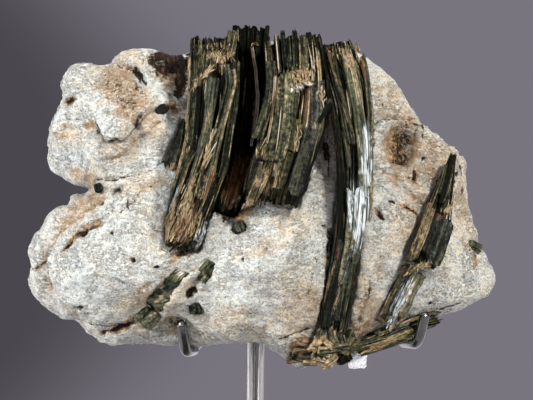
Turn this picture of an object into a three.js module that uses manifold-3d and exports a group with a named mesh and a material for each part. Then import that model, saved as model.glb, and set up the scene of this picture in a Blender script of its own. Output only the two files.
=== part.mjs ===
// Actinolite specimen: sheaves of long dark green crystals in a lump of pale schist, held upright on a
// display stand of three bent steel rods. Millimetres, X to the right, Y to the back, Z up. The origin is
// the middle of the base plate's underside.
import * as THREE from "three";
import { mergeVertices } from "three/addons/utils/BufferGeometryUtils.js";
import Module from "manifold-3d";

const wasm = await Module();
wasm.setup();

// ---- Driving dimensions -------------------------------------------------------------------------

const POST_TOP = 96; // height of the rock's underside above the table; rock heights count from here
const FIT_GAP = 0.45; // clearance between a crystal and the pocket that it grew in

const ROD_RADIUS = 2.2;
const ROD_SIDES = 8;
const BEND_RADIUS = 9;
const BEND_STEPS = 4;
const SLEEVE_BORE = 2.65;
const SLEEVE_RADIUS = 3.15;
const BASE_SIZE = [150, 118, 10];
const SOCKET_DEPTH = 6;

// ---- Small helpers ------------------------------------------------------------------------------

// A repeatable source of numbers from 0 to 1.
function randomSource(seed) {
  let state = seed;
  return () => {
    state = (state + 0x6d2b79f5) | 0;
    let t = Math.imul(state ^ (state >>> 15), 1 | state);
    t = (t + Math.imul(t ^ (t >>> 7), 61 | t)) ^ t;
    return ((t ^ (t >>> 14)) >>> 0) / 4294967296;
  };
}

const mix = THREE.MathUtils.lerp;

// A closed mesh as a solid, and back again.
function solidOf(geometry) {
  const bare = new THREE.BufferGeometry();
  bare.setAttribute("position", geometry.getAttribute("position"));
  if (geometry.index) bare.setIndex(geometry.index);
  const merged = mergeVertices(bare, 1e-4);
  return new wasm.Manifold(
    new wasm.Mesh({
      numProp: 3,
      vertProperties: new Float32Array(merged.attributes.position.array),
      triVerts: new Uint32Array(merged.index.array),
    }),
  );
}

function geometryOf(solid) {
  const mesh = solid.getMesh();
  const positions = new Float32Array(mesh.numVert * 3);
  for (let i = 0; i < mesh.numVert; i++) {
    positions.set(mesh.vertProperties.subarray(i * mesh.numProp, i * mesh.numProp + 3), i * 3);
  }
  const geometry = new THREE.BufferGeometry();
  geometry.setAttribute("position", new THREE.BufferAttribute(positions, 3));
  geometry.setIndex(new THREE.BufferAttribute(new Uint32Array(mesh.triVerts), 1));
  geometry.computeVertexNormals();
  return geometry;
}

// Triangles of a closed shell, gathered face by face from points that the faces share.
class Shell {
  constructor() {
    this.positions = [];
    this.index = [];
  }

  add(point) {
    this.positions.push(point.x, point.y, point.z);
    return this.positions.length / 3 - 1;
  }

  // A flat or nearly flat face with its corners anticlockwise as seen from outside.
  face(...corners) {
    for (let i = 1; i + 1 < corners.length; i++) this.index.push(corners[0], corners[i], corners[i + 1]);
  }

  geometry() {
    const geometry = new THREE.BufferGeometry();
    geometry.setAttribute("position", new THREE.Float32BufferAttribute(this.positions, 3));
    geometry.setIndex(this.index);
    return geometry;
  }
}

// ---- The rock -----------------------------------------------------------------------------------

// Its outline from the front as [x, height], clockwise from the notch in its left side.
const OUTLINE = [
  [-98, 92], [-107, 96], [-116, 100], [-122, 104], [-124, 111], [-124, 120], [-122, 128], [-119, 139],
  [-117, 146], [-114, 158], [-111, 164], [-102, 167], [-88, 167], [-82, 172], [-75, 175], [-63, 176],
  [-51, 173], [-39, 173], [-26, 177], [-10, 180], [6, 181], [22, 180], [39, 178], [55, 176],
  [67, 172], [78, 163], [88, 153], [95, 140], [100, 130], [110, 124], [120, 116], [126, 108],
  [128, 95], [128, 86], [133, 71], [136, 59], [143, 45], [145, 37], [141, 28], [129, 23],
  [112, 16], [102, 10], [92, 5], [82, -1], [68, -5], [54, -10], [40, -11], [27, -16],
  [16, -8], [5, 1], [-6, 1], [-18, 0], [-30, -1], [-46, -1], [-61, 0], [-75, 0],
  [-86, -2], [-93, 2], [-100, 6], [-106, 13], [-116, 15], [-128, 22], [-134, 28], [-137, 38],
  [-135, 43], [-137, 55], [-134, 63], [-128, 71], [-122, 79], [-110, 83], [-111, 88], [-102, 89],
];
const HUB = [-3, 77]; // every ring of the rock's mesh shrinks towards this point

// How far the face stands in front of the rock's middle plane, as [x, height, depth].
const FACE_DEPTHS = [
  [-117, 125, 28], [-116, 110, 24], [-107, 146, 31], [-95, 128, 40], [-101, 158, 27], [-86, 158, 22],
  [-75, 149, 25], [-63, 169, 12], [-48, 164, 14], [-80, 116, 37], [-62, 131, 35], [-51, 140, 30],
  [-57, 110, 37], [-74, 95, 35], [-92, 89, 27], [-83, 77, 38], [-110, 77, 22], [-125, 62, 17],
  [-130, 35, 17], [-110, 56, 39], [-115, 38, 37], [-92, 56, 48], [-92, 32, 46], [-104, 23, 31],
  [-68, 56, 50], [-68, 32, 45], [-80, 11, 30], [-60, 11, 34], [-44, 11, 26], [-50, 38, 43],
  [-44, 74, 45], [-32, 50, 50], [-26, 26, 50], [-3, 14, 46], [-18, 71, 48], [3, 56, 55],
  [3, 35, 54], [21, 56, 54], [27, 32, 49], [21, 8, 40], [27, -7, 30], [45, -4, 30],
  [39, 80, 49], [42, 110, 42], [38, 26, 45], [-9, 170, 12], [-9, 146, 14], [-9, 122, 19],
  [-12, 101, 30], [-30, 152, 28], [-30, 128, 34], [-36, 104, 40], [-40, 80, 44], [18, 164, 24],
  [21, 140, 32], [21, 116, 38], [15, 95, 44], [54, 164, 24], [57, 140, 34], [58, 110, 42],
  [58, 74, 44], [52, 44, 41], [48, 14, 34], [74, 161, 20], [84, 146, 24], [84, 137, 27],
  [86, 119, 22], [99, 116, 31], [75, 104, 38], [75, 80, 42], [110, 107, 28], [120, 92, 22],
  [92, 92, 39], [101, 71, 36], [122, 74, 24], [78, 56, 44], [93, 50, 42], [113, 50, 34],
  [131, 44, 20], [135, 33, 14], [113, 29, 28], [86, 26, 37], [69, 32, 42], [69, 8, 34],
  [92, 14, 24], [80, 5, 22],
];
const BACK_DEPTHS = [
  [-100, 140, 24], [-70, 120, 36], [-60, 155, 26], [-20, 150, 34], [20, 160, 30], [60, 150, 28],
  [90, 125, 24], [110, 90, 26], [60, 100, 38], [0, 110, 44], [-40, 80, 42], [-90, 95, 24],
  [-110, 60, 30], [-80, 35, 36], [-30, 30, 38], [20, 60, 44], [30, 15, 28], [80, 45, 36],
  [120, 45, 24],
];
const DEPTH_REACH = 13; // how far each of those depths spreads

// Ledges and cracks in the face: one side of each line drops by so much and rises back within the reach.
const LEDGES = [
  { line: [[-98, 82], [-88, 74], [-104, 62], [-115, 47], [-117, 30], [-110, 22], [-95, 12]], drop: 5, reach: 13 },
  { line: [[-86, 112], [-78, 119], [-70, 126], [-66, 131]], drop: 4, reach: 16 },
  { line: [[-72, 168], [-80, 160], [-66, 157], [-54, 150]], drop: -4, reach: 12 },
];

// Round hollows in the face, as [x, height, radius, depth].
const HOLLOWS = [
  [88, 120, 11, 9],
  [-49, 9, 9, 9],
  [-61, 22, 6, 4],
  [-38, 36, 5, 4],
  [-54, 139, 4, 5],
  [72, 77, 6, 3],
];

const FRONT_RINGS = [1, 0.975, 0.935, 0.88, 0.81, 0.73, 0.64, 0.55, 0.45, 0.35, 0.24, 0.12];
const BACK_RINGS = [1, 0.95, 0.87, 0.75, 0.59, 0.4, 0.19];
const SMOOTHING = 8; // how many points of the outline on each side are averaged for the inner rings
const ROUNDING = 5.5; // the higher, the squarer the rock's edge

// Depth at a place, blended from the listed ones by their distance.
function blendedDepth(depths, x, z) {
  let total = 1e-9;
  let sum = 0;
  for (const [px, pz, depth] of depths) {
    const weight = Math.exp(-((x - px) ** 2 + (z - pz) ** 2) / (2 * DEPTH_REACH ** 2)) + 1e-7;
    total += weight;
    sum += weight * depth;
  }
  return sum / total;
}

// Signed distance to a line of points, positive on its right, or null beyond its ends.
function sideOfLine(line, x, z) {
  let nearest = null;
  for (let i = 0; i + 1 < line.length; i++) {
    const [ax, az] = line[i];
    const [bx, bz] = line[i + 1];
    const length = Math.hypot(bx - ax, bz - az);
    const along = ((x - ax) * (bx - ax) + (z - az) * (bz - az)) / length ** 2;
    if (along < -0.05 || along > 1.05) continue;
    const across = ((x - ax) * (bz - az) - (z - az) * (bx - ax)) / length;
    if (nearest === null || Math.abs(across) < Math.abs(nearest)) nearest = across;
  }
  return nearest;
}

// Lumps of about the given size, from -1 to 1.
function lumps(x, y, z, size) {
  const [a, b, c] = [x / size, y / size, z / size];
  return (
    Math.sin(a * 1.7 + 2.1 * Math.sin(b * 1.3 + c * 0.9)) * 0.5 +
    Math.sin(c * 2.3 + 1.7 * Math.sin(a * 1.1 - b * 0.7)) * 0.3 +
    Math.sin((a + c) * 3.1 + 1.9 * Math.sin(b * 2.1 - a * 1.7)) * 0.2
  );
}

// The rock's edge doesn't lie in one plane: it wanders to the front and the back.
const edgeWander = (angle) => 5 * Math.sin(2 * angle + 0.8) + 3 * Math.sin(5 * angle);

const roundedEdge = (ring) => Math.sqrt(Math.max(0, 1 - ring ** ROUNDING));

function faceRelief(x, z) {
  let depth = 1.6 * lumps(x, 0, z, 16);
  for (const { line, drop, reach } of LEDGES) {
    const side = sideOfLine(line, x, z);
    if (side !== null && side > 0) depth -= drop * Math.exp(-((side / reach) ** 2));
  }
  for (const [hx, hz, radius, deep] of HOLLOWS) {
    depth -= deep * Math.exp(-((x - hx) ** 2 + (z - hz) ** 2) / radius ** 2);
  }
  return depth;
}

// The outline around the hub as angles and distances, the same with its dents and horns smoothed away.
const ANGLES = OUTLINE.map(([x, z]) => Math.atan2(z - HUB[1], x - HUB[0]));
const REACHES = OUTLINE.map(([x, z]) => Math.hypot(x - HUB[0], z - HUB[1]));
const SMOOTH_REACHES = REACHES.map((_, c) => {
  const near = Array.from({ length: 2 * SMOOTHING + 1 }, (_, i) => REACHES.at((c + i - SMOOTHING) % REACHES.length));
  return near.reduce((sum, reach) => sum + reach, 0) / near.length;
});

// Distance from the hub of a ring, whose shape grows from the smoothed outline into the true one.
const ringReach = (reach, smoothReach, ring) => ring * mix(smoothReach, reach, ring ** 3);

const faceDepth = (x, z) => blendedDepth(FACE_DEPTHS, x, z) + faceRelief(x, z);
const backDepth = (x, z) => blendedDepth(BACK_DEPTHS, x, z) + 3 * lumps(x, 40, z, 24);

function rockPoint(corner, ring, isFace) {
  const angle = ANGLES[corner];
  const reach = ringReach(REACHES[corner], SMOOTH_REACHES[corner], ring);
  const x = HUB[0] + Math.cos(angle) * reach;
  const z = HUB[1] + Math.sin(angle) * reach;
  const depth = isFace ? -faceDepth(x, z) : backDepth(x, z);
  return new THREE.Vector3(x, edgeWander(angle) * ring ** 3 + depth * roundedEdge(ring), z + POST_TOP);
}

// How far to the front the rock's face stands at a place.
function faceFront(x, z) {
  const [dx, dz] = [x - HUB[0], z - HUB[1]];
  const angle = Math.atan2(dz, dx);
  const turned = (from) => (angle - from + 4 * Math.PI) % (2 * Math.PI);
  const corner = ANGLES.reduce((best, from, c) => (turned(ANGLES[best]) > turned(from) ? c : best), 0);
  const next = (corner + OUTLINE.length - 1) % OUTLINE.length;
  const share = turned(ANGLES[corner]) / ((ANGLES[next] - ANGLES[corner] + 4 * Math.PI) % (2 * Math.PI));
  const reach = mix(REACHES[corner], REACHES[next], share);
  const smoothReach = mix(SMOOTH_REACHES[corner], SMOOTH_REACHES[next], share);
  let [low, high] = [0, 1];
  for (let i = 0; i < 20; i++) {
    const middle = (low + high) / 2;
    if (ringReach(reach, smoothReach, middle) < Math.hypot(dx, dz)) low = middle;
    else high = middle;
  }
  return edgeWander(angle) * low ** 3 - faceDepth(x, z) * roundedEdge(low);
}

function rockGeometry() {
  const shell = new Shell();
  const addRing = (ring, isFace) => OUTLINE.map((_, corner) => shell.add(rockPoint(corner, ring, isFace)));
  const edge = addRing(1, true);
  for (const isFace of [true, false]) {
    let outer = edge;
    const face = (...corners) => shell.face(...(isFace ? corners : corners.reverse()));
    for (const ring of (isFace ? FRONT_RINGS : BACK_RINGS).slice(1)) {
      const inner = addRing(ring, isFace);
      outer.forEach((point, c) => {
        const next = (c + 1) % outer.length;
        face(point, inner[c], inner[next], outer[next]);
      });
      outer = inner;
    }
    const hub = shell.add(rockPoint(0, 0, isFace));
    outer.forEach((point, c) => face(point, hub, outer[(c + 1) % outer.length]));
  }
  return shell.geometry();
}

// ---- Crystals -----------------------------------------------------------------------------------

const OUTWARD = new THREE.Vector3(0, -1, 0);

// A crystal sheaf follows a line of stations down its front, each [x, y, height, half width, thickness].
// Each station becomes a rib: its middle, the ways along and across it seen from the front, and its size.
function ribsOf(stations) {
  const middles = stations.map(([x, y, z]) => new THREE.Vector3(x, y, z + POST_TOP));
  return middles.map((middle, i) => {
    const before = middles[Math.max(0, i - 1)];
    const after = middles[Math.min(middles.length - 1, i + 1)];
    const along = after.clone().sub(before).setY(0).normalize();
    const across = OUTWARD.clone().cross(along);
    return { middle, along, across, halfWidth: stations[i][3], thickness: stations[i][4] };
  });
}

const pointOnRib = (rib, u, depth) =>
  rib.middle
    .clone()
    .addScaledVector(rib.across, u * rib.halfWidth)
    .addScaledVector(OUTWARD, -depth);

// The point of a sheaf at a share t of its line, at u from -1 to 1 across it. A depth of null is its back.
function sheafPoint(ribs, t, u, depth) {
  const place = t * (ribs.length - 1);
  const first = Math.min(Math.floor(place), ribs.length - 2);
  const [from, to] = [ribs[first], ribs[first + 1]].map((rib) => pointOnRib(rib, u, depth ?? rib.thickness));
  return from.lerp(to, place - first);
}

// Flat blades side by side: each stands a little in front of or behind its neighbours, has a ridge down
// its middle and starts and ends at its own place, so the ends are ragged.
function bladesGeometry(sheaf) {
  const ribs = ribsOf(sheaf.stations);
  const last = ribs.length - 1;
  const random = randomSource(sheaf.seed);
  const shell = new Shell();
  const line = (u, depth, start, end) =>
    ribs.map((_, i) => {
      const t = i === 0 ? start : i === last ? end : i / last;
      return shell.add(sheafPoint(ribs, t, u, depth));
    });
  const backs = Array.from({ length: sheaf.blades + 1 }, (_, i) => line((i / sheaf.blades) * 2 - 1, null, 0, 1));
  const strip = (left, right) => {
    for (let i = 0; i < last; i++) shell.face(left[i], left[i + 1], right[i + 1], right[i]);
  };
  // The end faces: each pair of neighbouring points in front goes to the point behind them.
  const caps = (left, right, behind) => {
    shell.face(left[0], right[0], behind[0]);
    shell.face(right[last], left[last], behind[last]);
  };
  let previous = null;
  for (let blade = 0; blade < sheaf.blades; blade++) {
    const [left, right] = [backs[blade], backs[blade + 1]];
    const step = sheaf.relief * (random() - 0.5) * 2;
    const start = (sheaf.ragged[0] * random()) / last;
    const end = 1 - (sheaf.ragged[1] * random()) / last;
    const bevel = 0.5 + sheaf.relief * 0.5 * random();
    const ridge = 0.35 + 0.3 * random();
    const [a, b, c] = [[0.04, bevel], [ridge, 0], [0.96, bevel]].map(([share, depth]) =>
      line(((blade + share) / sheaf.blades) * 2 - 1, step + depth, start, end),
    );
    if (previous) {
      strip(previous, a);
      caps(previous, a, left);
    }
    strip(a, b);
    strip(b, c);
    strip(right, left);
    caps(a, b, left);
    caps(b, c, right);
    shell.face(b[0], right[0], left[0]);
    shell.face(b[last], left[last], right[last]);
    if (blade === 0) strip(left, a);
    previous = c;
  }
  strip(previous, backs[sheaf.blades]);
  return shell.geometry();
}

// The plain space that a sheaf and its clearance take up, used to cut its pocket.
function pocketGeometry(sheaf) {
  const ribs = ribsOf(sheaf.stations);
  const last = ribs.length - 1;
  const shell = new Shell();
  const line = (side, isBack) =>
    ribs.map((rib, i) => {
      const point = pointOnRib(rib, side, isBack ? rib.thickness + 2 * FIT_GAP : -sheaf.relief - 4);
      const beyond = i === 0 ? -FIT_GAP : i === last ? FIT_GAP : 0;
      return shell.add(point.addScaledVector(rib.across, side * FIT_GAP).addScaledVector(rib.along, beyond));
    });
  const lines = [line(-1, false), line(1, false), line(1, true), line(0, true), line(-1, true)];
  lines.forEach((left, i) => {
    const right = lines[(i + 1) % lines.length];
    for (let r = 0; r < last; r++) shell.face(left[r], left[r + 1], right[r + 1], right[r]);
  });
  shell.face(...lines.map((points) => points[0]));
  shell.face(...lines.map((points) => points[last]).reverse());
  return shell.geometry();
}

// The large sheaves, the more prominent first: a later one is cut clear of the earlier ones.
const SHEAVES = [
  {
    name: "middle_crystal_sheaf",
    blades: 9, relief: 2.4, ragged: [0.6, 0.9], seed: 11,
    stations: [
      [22, -37, 184, 18, 38], [25, -46, 168, 17.4, 34], [26, -53, 153, 18.4, 31], [25.6, -56, 144, 18.8, 28],
      [22.6, -59, 127, 18, 25], [18.6, -61, 115, 18, 23], [14.5, -61, 103, 18.4, 21], [10.4, -60, 92, 17.8, 18],
      [8.7, -58, 83, 17.2, 14],
    ],
  },
  {
    name: "left_crystal_sheaf",
    blades: 8, relief: 2.2, ragged: [0.6, 0.6], seed: 5,
    stations: [
      [-24, -37, 184, 14.4, 35], [-23.8, -43, 168, 15, 28], [-24.5, -48, 150, 14.8, 24], [-25.6, -52, 133, 15, 21],
      [-27.4, -55, 115, 14.4, 20], [-30, -56, 103, 13.8, 19], [-33.8, -56, 91, 13.2, 18], [-37.6, -55, 81, 12.6, 16],
      [-41, -53, 67, 12, 13], [-43, -50, 56, 10.8, 9],
    ],
  },
  {
    name: "right_crystal_sheaf",
    blades: 6, relief: 1.8, ragged: [0.5, 0.5], seed: 23,
    stations: [
      [47.8, -33, 180, 10.2, 31], [51, -40, 168, 11.2, 26], [54.5, -46, 156, 12, 22], [56.5, -50, 144, 11, 20],
      [58, -53, 127, 9.4, 18], [58.4, -55, 109, 9.2, 17], [57.8, -56, 86, 9.6, 17], [56.3, -55, 71, 9.3, 16],
      [54.3, -53, 56, 8.8, 15], [51.5, -49, 39, 9.4, 13], [49.2, -46, 27, 9.5, 12], [47, -41, 15, 9.3, 11],
      [45.3, -36, 4, 9, 9],
    ],
  },
  {
    name: "needle_crystal",
    blades: 1, relief: 0.4, ragged: [0, 0], seed: 61,
    stations: [
      [-1.8, -26.6, 178, 1.1, 4.6], [1, -29.8, 162, 1.1, 4.6], [1.8, -32, 145, 1.1, 4.6],
      [0.6, -35, 128, 1.1, 4.6], [-2, -37.6, 115, 1.1, 4.6],
    ],
  },
  {
    name: "recessed_crystal_sheaf",
    blades: 5, relief: 1.4, ragged: [0.2, 0.7], seed: 31,
    stations: [
      [-2, -22, 190, 12, 34], [-2.6, -26, 169, 10.4, 28], [-4.9, -29, 145, 9.4, 24], [-7.3, -33, 121, 9.2, 20],
      [-11.4, -38, 102, 9, 15], [-16, -45, 86, 8.6, 11], [-18.4, -48, 78, 7.2, 8],
    ],
  },
  {
    name: "slanted_crystal_upper",
    blades: 4, relief: 1.2, ragged: [0.1, 0.3], seed: 41,
    stations: [
      [118.5, -24, 114, 2, 7], [114, -31, 98, 4.8, 9], [109.5, -38, 83, 7.4, 12], [105.8, -43, 69, 9.6, 13],
      [101.6, -46, 58, 10.2, 13], [97.6, -46, 48, 10.2, 12],
    ],
  },
  {
    name: "slanted_crystal_lower",
    blades: 4, relief: 0.8, ragged: [0.1, 0.3], seed: 43,
    stations: [
      [94.6, -41, 44, 7.8, 9], [89.5, -40, 34, 7.8, 9], [84.3, -36, 23, 7.8, 9], [79.4, -29, 12, 7.6, 8],
    ],
  },
  {
    name: "edge_crystal_band",
    blades: 3, relief: 1.2, ragged: [0.1, 0.4], seed: 47,
    stations: [
      [57.4, -24, -7, 5.2, 14], [67.4, -26, -1.6, 5.4, 14], [79.3, -26, 4, 5.4, 14], [91.2, -23, 9.4, 5.4, 14],
      [101.3, -19, 13, 4.8, 12], [111, -15, 15, 4.6, 10],
    ],
  },
  {
    name: "foot_crystal_cluster",
    blades: 3, relief: 2.2, ragged: [0.5, 0.3], seed: 53,
    stations: [
      [21.5, -26, -5, 3.6, 13], [32.9, -33, -5, 5.4, 15], [44.6, -36, -5.4, 5.6, 15], [54.6, -34, -5, 4.4, 13],
    ],
  },
  {
    name: "side_blade_crystal",
    blades: 2, relief: 0.6, ragged: [0.1, 0.4], seed: 59,
    stations: [[-41.8, -34, 133, 1.3, 5], [-45, -40, 120, 3.2, 7], [-49.6, -42, 106, 4.6, 8]],
  },
  {
    name: "channel_crystal_upper",
    blades: 2, relief: 0.5, ragged: [0.1, 0.1], seed: 67, proud: 1.6,
    stations: [[-43, 0, 44, 3.8, 8], [-48, 0, 38, 4.2, 8], [-52.4, 0, 32.4, 4.4, 8]],
  },
  {
    name: "channel_crystal_middle",
    blades: 2, relief: 0.6, ragged: [0.1, 0.3], seed: 71, proud: 1.6,
    stations: [[-53.8, 0, 31, 4.8, 8], [-56.8, 0, 27.6, 5, 8], [-59.8, 0, 24.2, 4.8, 8]],
  },
  {
    name: "channel_crystal_lower",
    blades: 2, relief: 0.5, ragged: [0.2, 0.1], seed: 73, proud: 2,
    stations: [[-60.4, 0, 19.6, 4.6, 8], [-63.2, 0, 16.4, 5, 8], [-66, 0, 13, 4.4, 8]],
  },
  {
    name: "branch_crystal",
    blades: 2, relief: 0.5, ragged: [0.1, 0.4], seed: 79, proud: 1.6,
    stations: [[-25.4, 0, 49, 2.4, 8], [-28.4, 0, 44, 3.8, 8], [-31.6, 0, 39, 3.2, 8]],
  },
];
// A sheaf with a proud distance stands that far out of the rock's face, wherever the face is.
for (const sheaf of SHEAVES.filter(({ proud }) => proud)) {
  for (const station of sheaf.stations) station[1] = faceFront(station[0], station[2]) - sheaf.proud;
}

// Short six-sided crystals, as [x, height], [width, length, thickness], how far they stand proud of the
// rock's face, and their turn in degrees as seen from the front.
const STUBS = [
  { name: "square_crystal", at: [-9, 69.4], size: [6.4, 5.6, 8], proud: 1.4, turn: 28 },
  { name: "pocket_crystal", at: [-35, 21.6], size: [6, 5.4, 8], proud: 1.2, turn: 15 },
  { name: "notch_crystal", at: [-92.5, 93], size: [4.4, 5, 8], proud: 1.4, turn: 10 },
  { name: "rim_crystal", at: [131.5, 58.4], size: [8.6, 5, 8], proud: 2, turn: -18 },
  { name: "shelf_crystal", at: [-56, 166], size: [5.4, 4.6, 8], proud: 1.6, turn: 12 },
  { name: "pit_crystal", at: [-57, 138.4], size: [4.2, 3.4, 8], proud: 1, turn: 40 },
  { name: "lower_left_crystal", at: [-104, 23.4], size: [5.6, 3.4, 8], proud: 1, turn: -24 },
  { name: "white_chip", at: [63, -8.5], size: [7, 9, 7], proud: 7, turn: 8 },
];

function stubGeometry({ at: [x, z], size: [width, length, thickness], proud, turn }, grow = 0) {
  const outline = new THREE.Shape(
    [[-1, -0.7], [-0.2, -1], [1, -0.8], [0.9, 0.6], [0.3, 1], [-0.9, 0.8]].map(
      ([u, v]) => new THREE.Vector2(u * (width / 2 + grow), v * (length / 2 + grow)),
    ),
  );
  return new THREE.ExtrudeGeometry(outline, { depth: thickness + 2 * grow, bevelEnabled: false })
    .rotateZ(THREE.MathUtils.degToRad(turn))
    .rotateX(Math.PI / 2)
    .translate(x, faceFront(x, z) - proud + thickness + grow, z + POST_TOP);
}

// ---- The stand ----------------------------------------------------------------------------------

// A rod's path: straight lines through the corners [x, y, z, bend radius], with a round bend at each inner
// corner. It has one step at each end of a line and BEND_STEPS in each bend, so a bend radius of 0 puts a
// step on a line and bends nothing.
class BentPath extends THREE.Curve {
  constructor(corners) {
    super();
    const points = corners.map(([x, y, z]) => new THREE.Vector3(x, y, z));
    this.stops = points.flatMap((corner, i) => {
      const radius = corners[i][3] ?? BEND_RADIUS;
      if (i === 0 || i === points.length - 1 || radius === 0) return [corner];
      const [before, after] = [points[i - 1], points[i + 1]];
      const start = corner.clone().add(before.clone().sub(corner).setLength(radius));
      const end = corner.clone().add(after.clone().sub(corner).setLength(radius));
      return new THREE.QuadraticBezierCurve3(start, corner, end).getPoints(BEND_STEPS);
    });
  }

  get steps() {
    return this.stops.length - 1;
  }

  // The last stops of this path as a path of their own, short of its end by so much.
  ending(count, short) {
    const end = new BentPath([]);
    end.stops = this.stops.slice(-count);
    const tip = end.stops.pop().clone();
    end.stops.push(tip.addScaledVector(this.getTangentAt(1), -short));
    return end;
  }

  getPointAt(share) {
    const place = share * this.steps;
    const first = Math.min(Math.floor(place), this.steps - 1);
    return this.stops[first].clone().lerp(this.stops[first + 1], place - first);
  }

  getTangentAt(share) {
    const stop = Math.round(share * this.steps);
    const here = this.stops[stop];
    const before = this.stops[Math.max(0, stop - 1)];
    const after = this.stops[Math.min(this.steps, stop + 1)];
    return after.clone().sub(here).normalize().add(here.clone().sub(before).normalize()).normalize();
  }
}

function circleShape(radius, ShapeClass) {
  const turn = (2 * Math.PI) / ROD_SIDES;
  return new ShapeClass(
    Array.from({ length: ROD_SIDES }, (_, i) => {
      return new THREE.Vector2(Math.cos((i + 0.5) * turn) * radius, Math.sin((i + 0.5) * turn) * radius);
    }),
  );
}

// A rod with a domed end.
function rodGeometry(path) {
  const section = circleShape(ROD_RADIUS, THREE.Shape);
  const rod = new THREE.ExtrudeGeometry(section, { steps: path.steps, extrudePath: path });
  const tip = path.getPointAt(1);
  const dome = new THREE.SphereGeometry(ROD_RADIUS * 0.97, ROD_SIDES, 6)
    .applyQuaternion(new THREE.Quaternion().setFromUnitVectors(new THREE.Vector3(0, 1, 0), path.getTangentAt(1)))
    .translate(tip.x, tip.y, tip.z);
  return geometryOf(solidOf(rod).add(solidOf(dome)));
}

function sleeveGeometry(path) {
  const section = circleShape(SLEEVE_RADIUS, THREE.Shape);
  section.holes.push(circleShape(SLEEVE_BORE, THREE.Path));
  return new THREE.ExtrudeGeometry(section, { steps: path.steps, extrudePath: path });
}

// The rods rise side by side as a post behind the rock. Two turn aside there, then forwards under the rock
// and up in front of it as hooks, and the third leans on its back.
const SOCKET_FLOOR = BASE_SIZE[2] - SOCKET_DEPTH;
const LEFT_ARM = [
  [-2.7, 36, SOCKET_FLOOR + FIT_GAP], [-2.7, 36, POST_TOP + 4, 6], [-29.5, 37, POST_TOP + 3.6, 6], [-33.4, 24, POST_TOP - 1.4, 0],
  [-36.6, 6, POST_TOP - 4.6, 0], [-41, -12.8, POST_TOP - 5, 6], [-43.3, -30.7, POST_TOP + 13.4],
];
const RIGHT_ARM = [
  [2.3, 36, SOCKET_FLOOR + FIT_GAP], [4, 36, POST_TOP + 2.6, 6], [74, 34, POST_TOP + 2.6],
  [89.6, 3, POST_TOP + 0.2, 0], [96.8, -23, POST_TOP + 0.4, 7], [101.2, -29.6, POST_TOP + 18.8],
];
const BACK_REST = [
  [-0.2, 40.4, SOCKET_FLOOR + FIT_GAP], [-0.2, 40.4, POST_TOP + 22, 0], [-0.2, 45, POST_TOP + 62],
];
// A sleeve covers the stops of a hook from the one before its last bend to just short of the tip.
const SLEEVED_STOPS = BEND_STEPS + 3;
const BARE_TIP = 0.6;

function basePlateSolid(rodPaths) {
  const [width, depth, height] = BASE_SIZE;
  const corner = 10;
  const bevel = 1.2;
  const [w, d] = [width / 2 - bevel, depth / 2 - bevel];
  const outline = new THREE.Shape();
  outline.moveTo(-w + corner, -d);
  outline.lineTo(w - corner, -d).absarc(w - corner, -d + corner, corner, -Math.PI / 2, 0);
  outline.lineTo(w, d - corner).absarc(w - corner, d - corner, corner, 0, Math.PI / 2);
  outline.lineTo(-w + corner, d).absarc(-w + corner, d - corner, corner, Math.PI / 2, Math.PI);
  outline.lineTo(-w, -d + corner).absarc(-w + corner, -d + corner, corner, Math.PI, 1.5 * Math.PI);
  const plate = new THREE.ExtrudeGeometry(outline, {
    depth: height - 2 * bevel,
    bevelSize: bevel,
    bevelThickness: bevel,
    bevelSegments: 1,
    curveSegments: 3,
  }).translate(0, 0, bevel);
  return rodPaths.reduce((left, [x, y]) => {
    const socket = new THREE.CylinderGeometry(ROD_RADIUS + FIT_GAP, ROD_RADIUS + FIT_GAP, 20, ROD_SIDES)
      .rotateX(Math.PI / 2)
      .translate(x, y, SOCKET_FLOOR + 10);
    return left.subtract(solidOf(socket));
  }, solidOf(plate));
}

// ---- Assembly -----------------------------------------------------------------------------------

const FINISHES = {
  schist: { color: 0xbdb8a8, roughness: 0.88, metalness: 0 },
  actinolite: { color: 0x3c4234, roughness: 0.42, metalness: 0 },
  white_talc: { color: 0xf2f1ec, roughness: 0.7, metalness: 0 },
  steel: { color: 0x8d8c8c, roughness: 0.25, metalness: 1 },
  sleeve: { color: 0x47464a, roughness: 0.35, metalness: 0 },
  base: { color: 0x2c2c2e, roughness: 0.5, metalness: 0.6 },
};

function meshOf(name, geometry, finish) {
  const mesh = new THREE.Mesh(geometry, new THREE.MeshStandardMaterial({ ...FINISHES[finish], flatShading: true }));
  mesh.name = name;
  return mesh;
}

function buildSpecimen() {
  const specimen = new THREE.Group();
  const pockets = [];
  for (const sheaf of SHEAVES) {
    const clear = pockets.reduce((left, pocket) => left.subtract(pocket), solidOf(bladesGeometry(sheaf)));
    specimen.add(meshOf(sheaf.name, geometryOf(clear), "actinolite"));
    pockets.push(solidOf(pocketGeometry(sheaf)));
  }
  for (const stub of STUBS) {
    const finish = stub.name === "white_chip" ? "white_talc" : "actinolite";
    const clear = pockets.reduce((left, pocket) => left.subtract(pocket), solidOf(stubGeometry(stub)));
    specimen.add(meshOf(stub.name, geometryOf(clear), finish));
    pockets.push(solidOf(stubGeometry(stub, FIT_GAP)));
  }
  const rock = pockets.reduce((left, pocket) => left.subtract(pocket), solidOf(rockGeometry()));
  specimen.add(meshOf("schist_matrix", geometryOf(rock), "schist"));
  return specimen;
}

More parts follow.
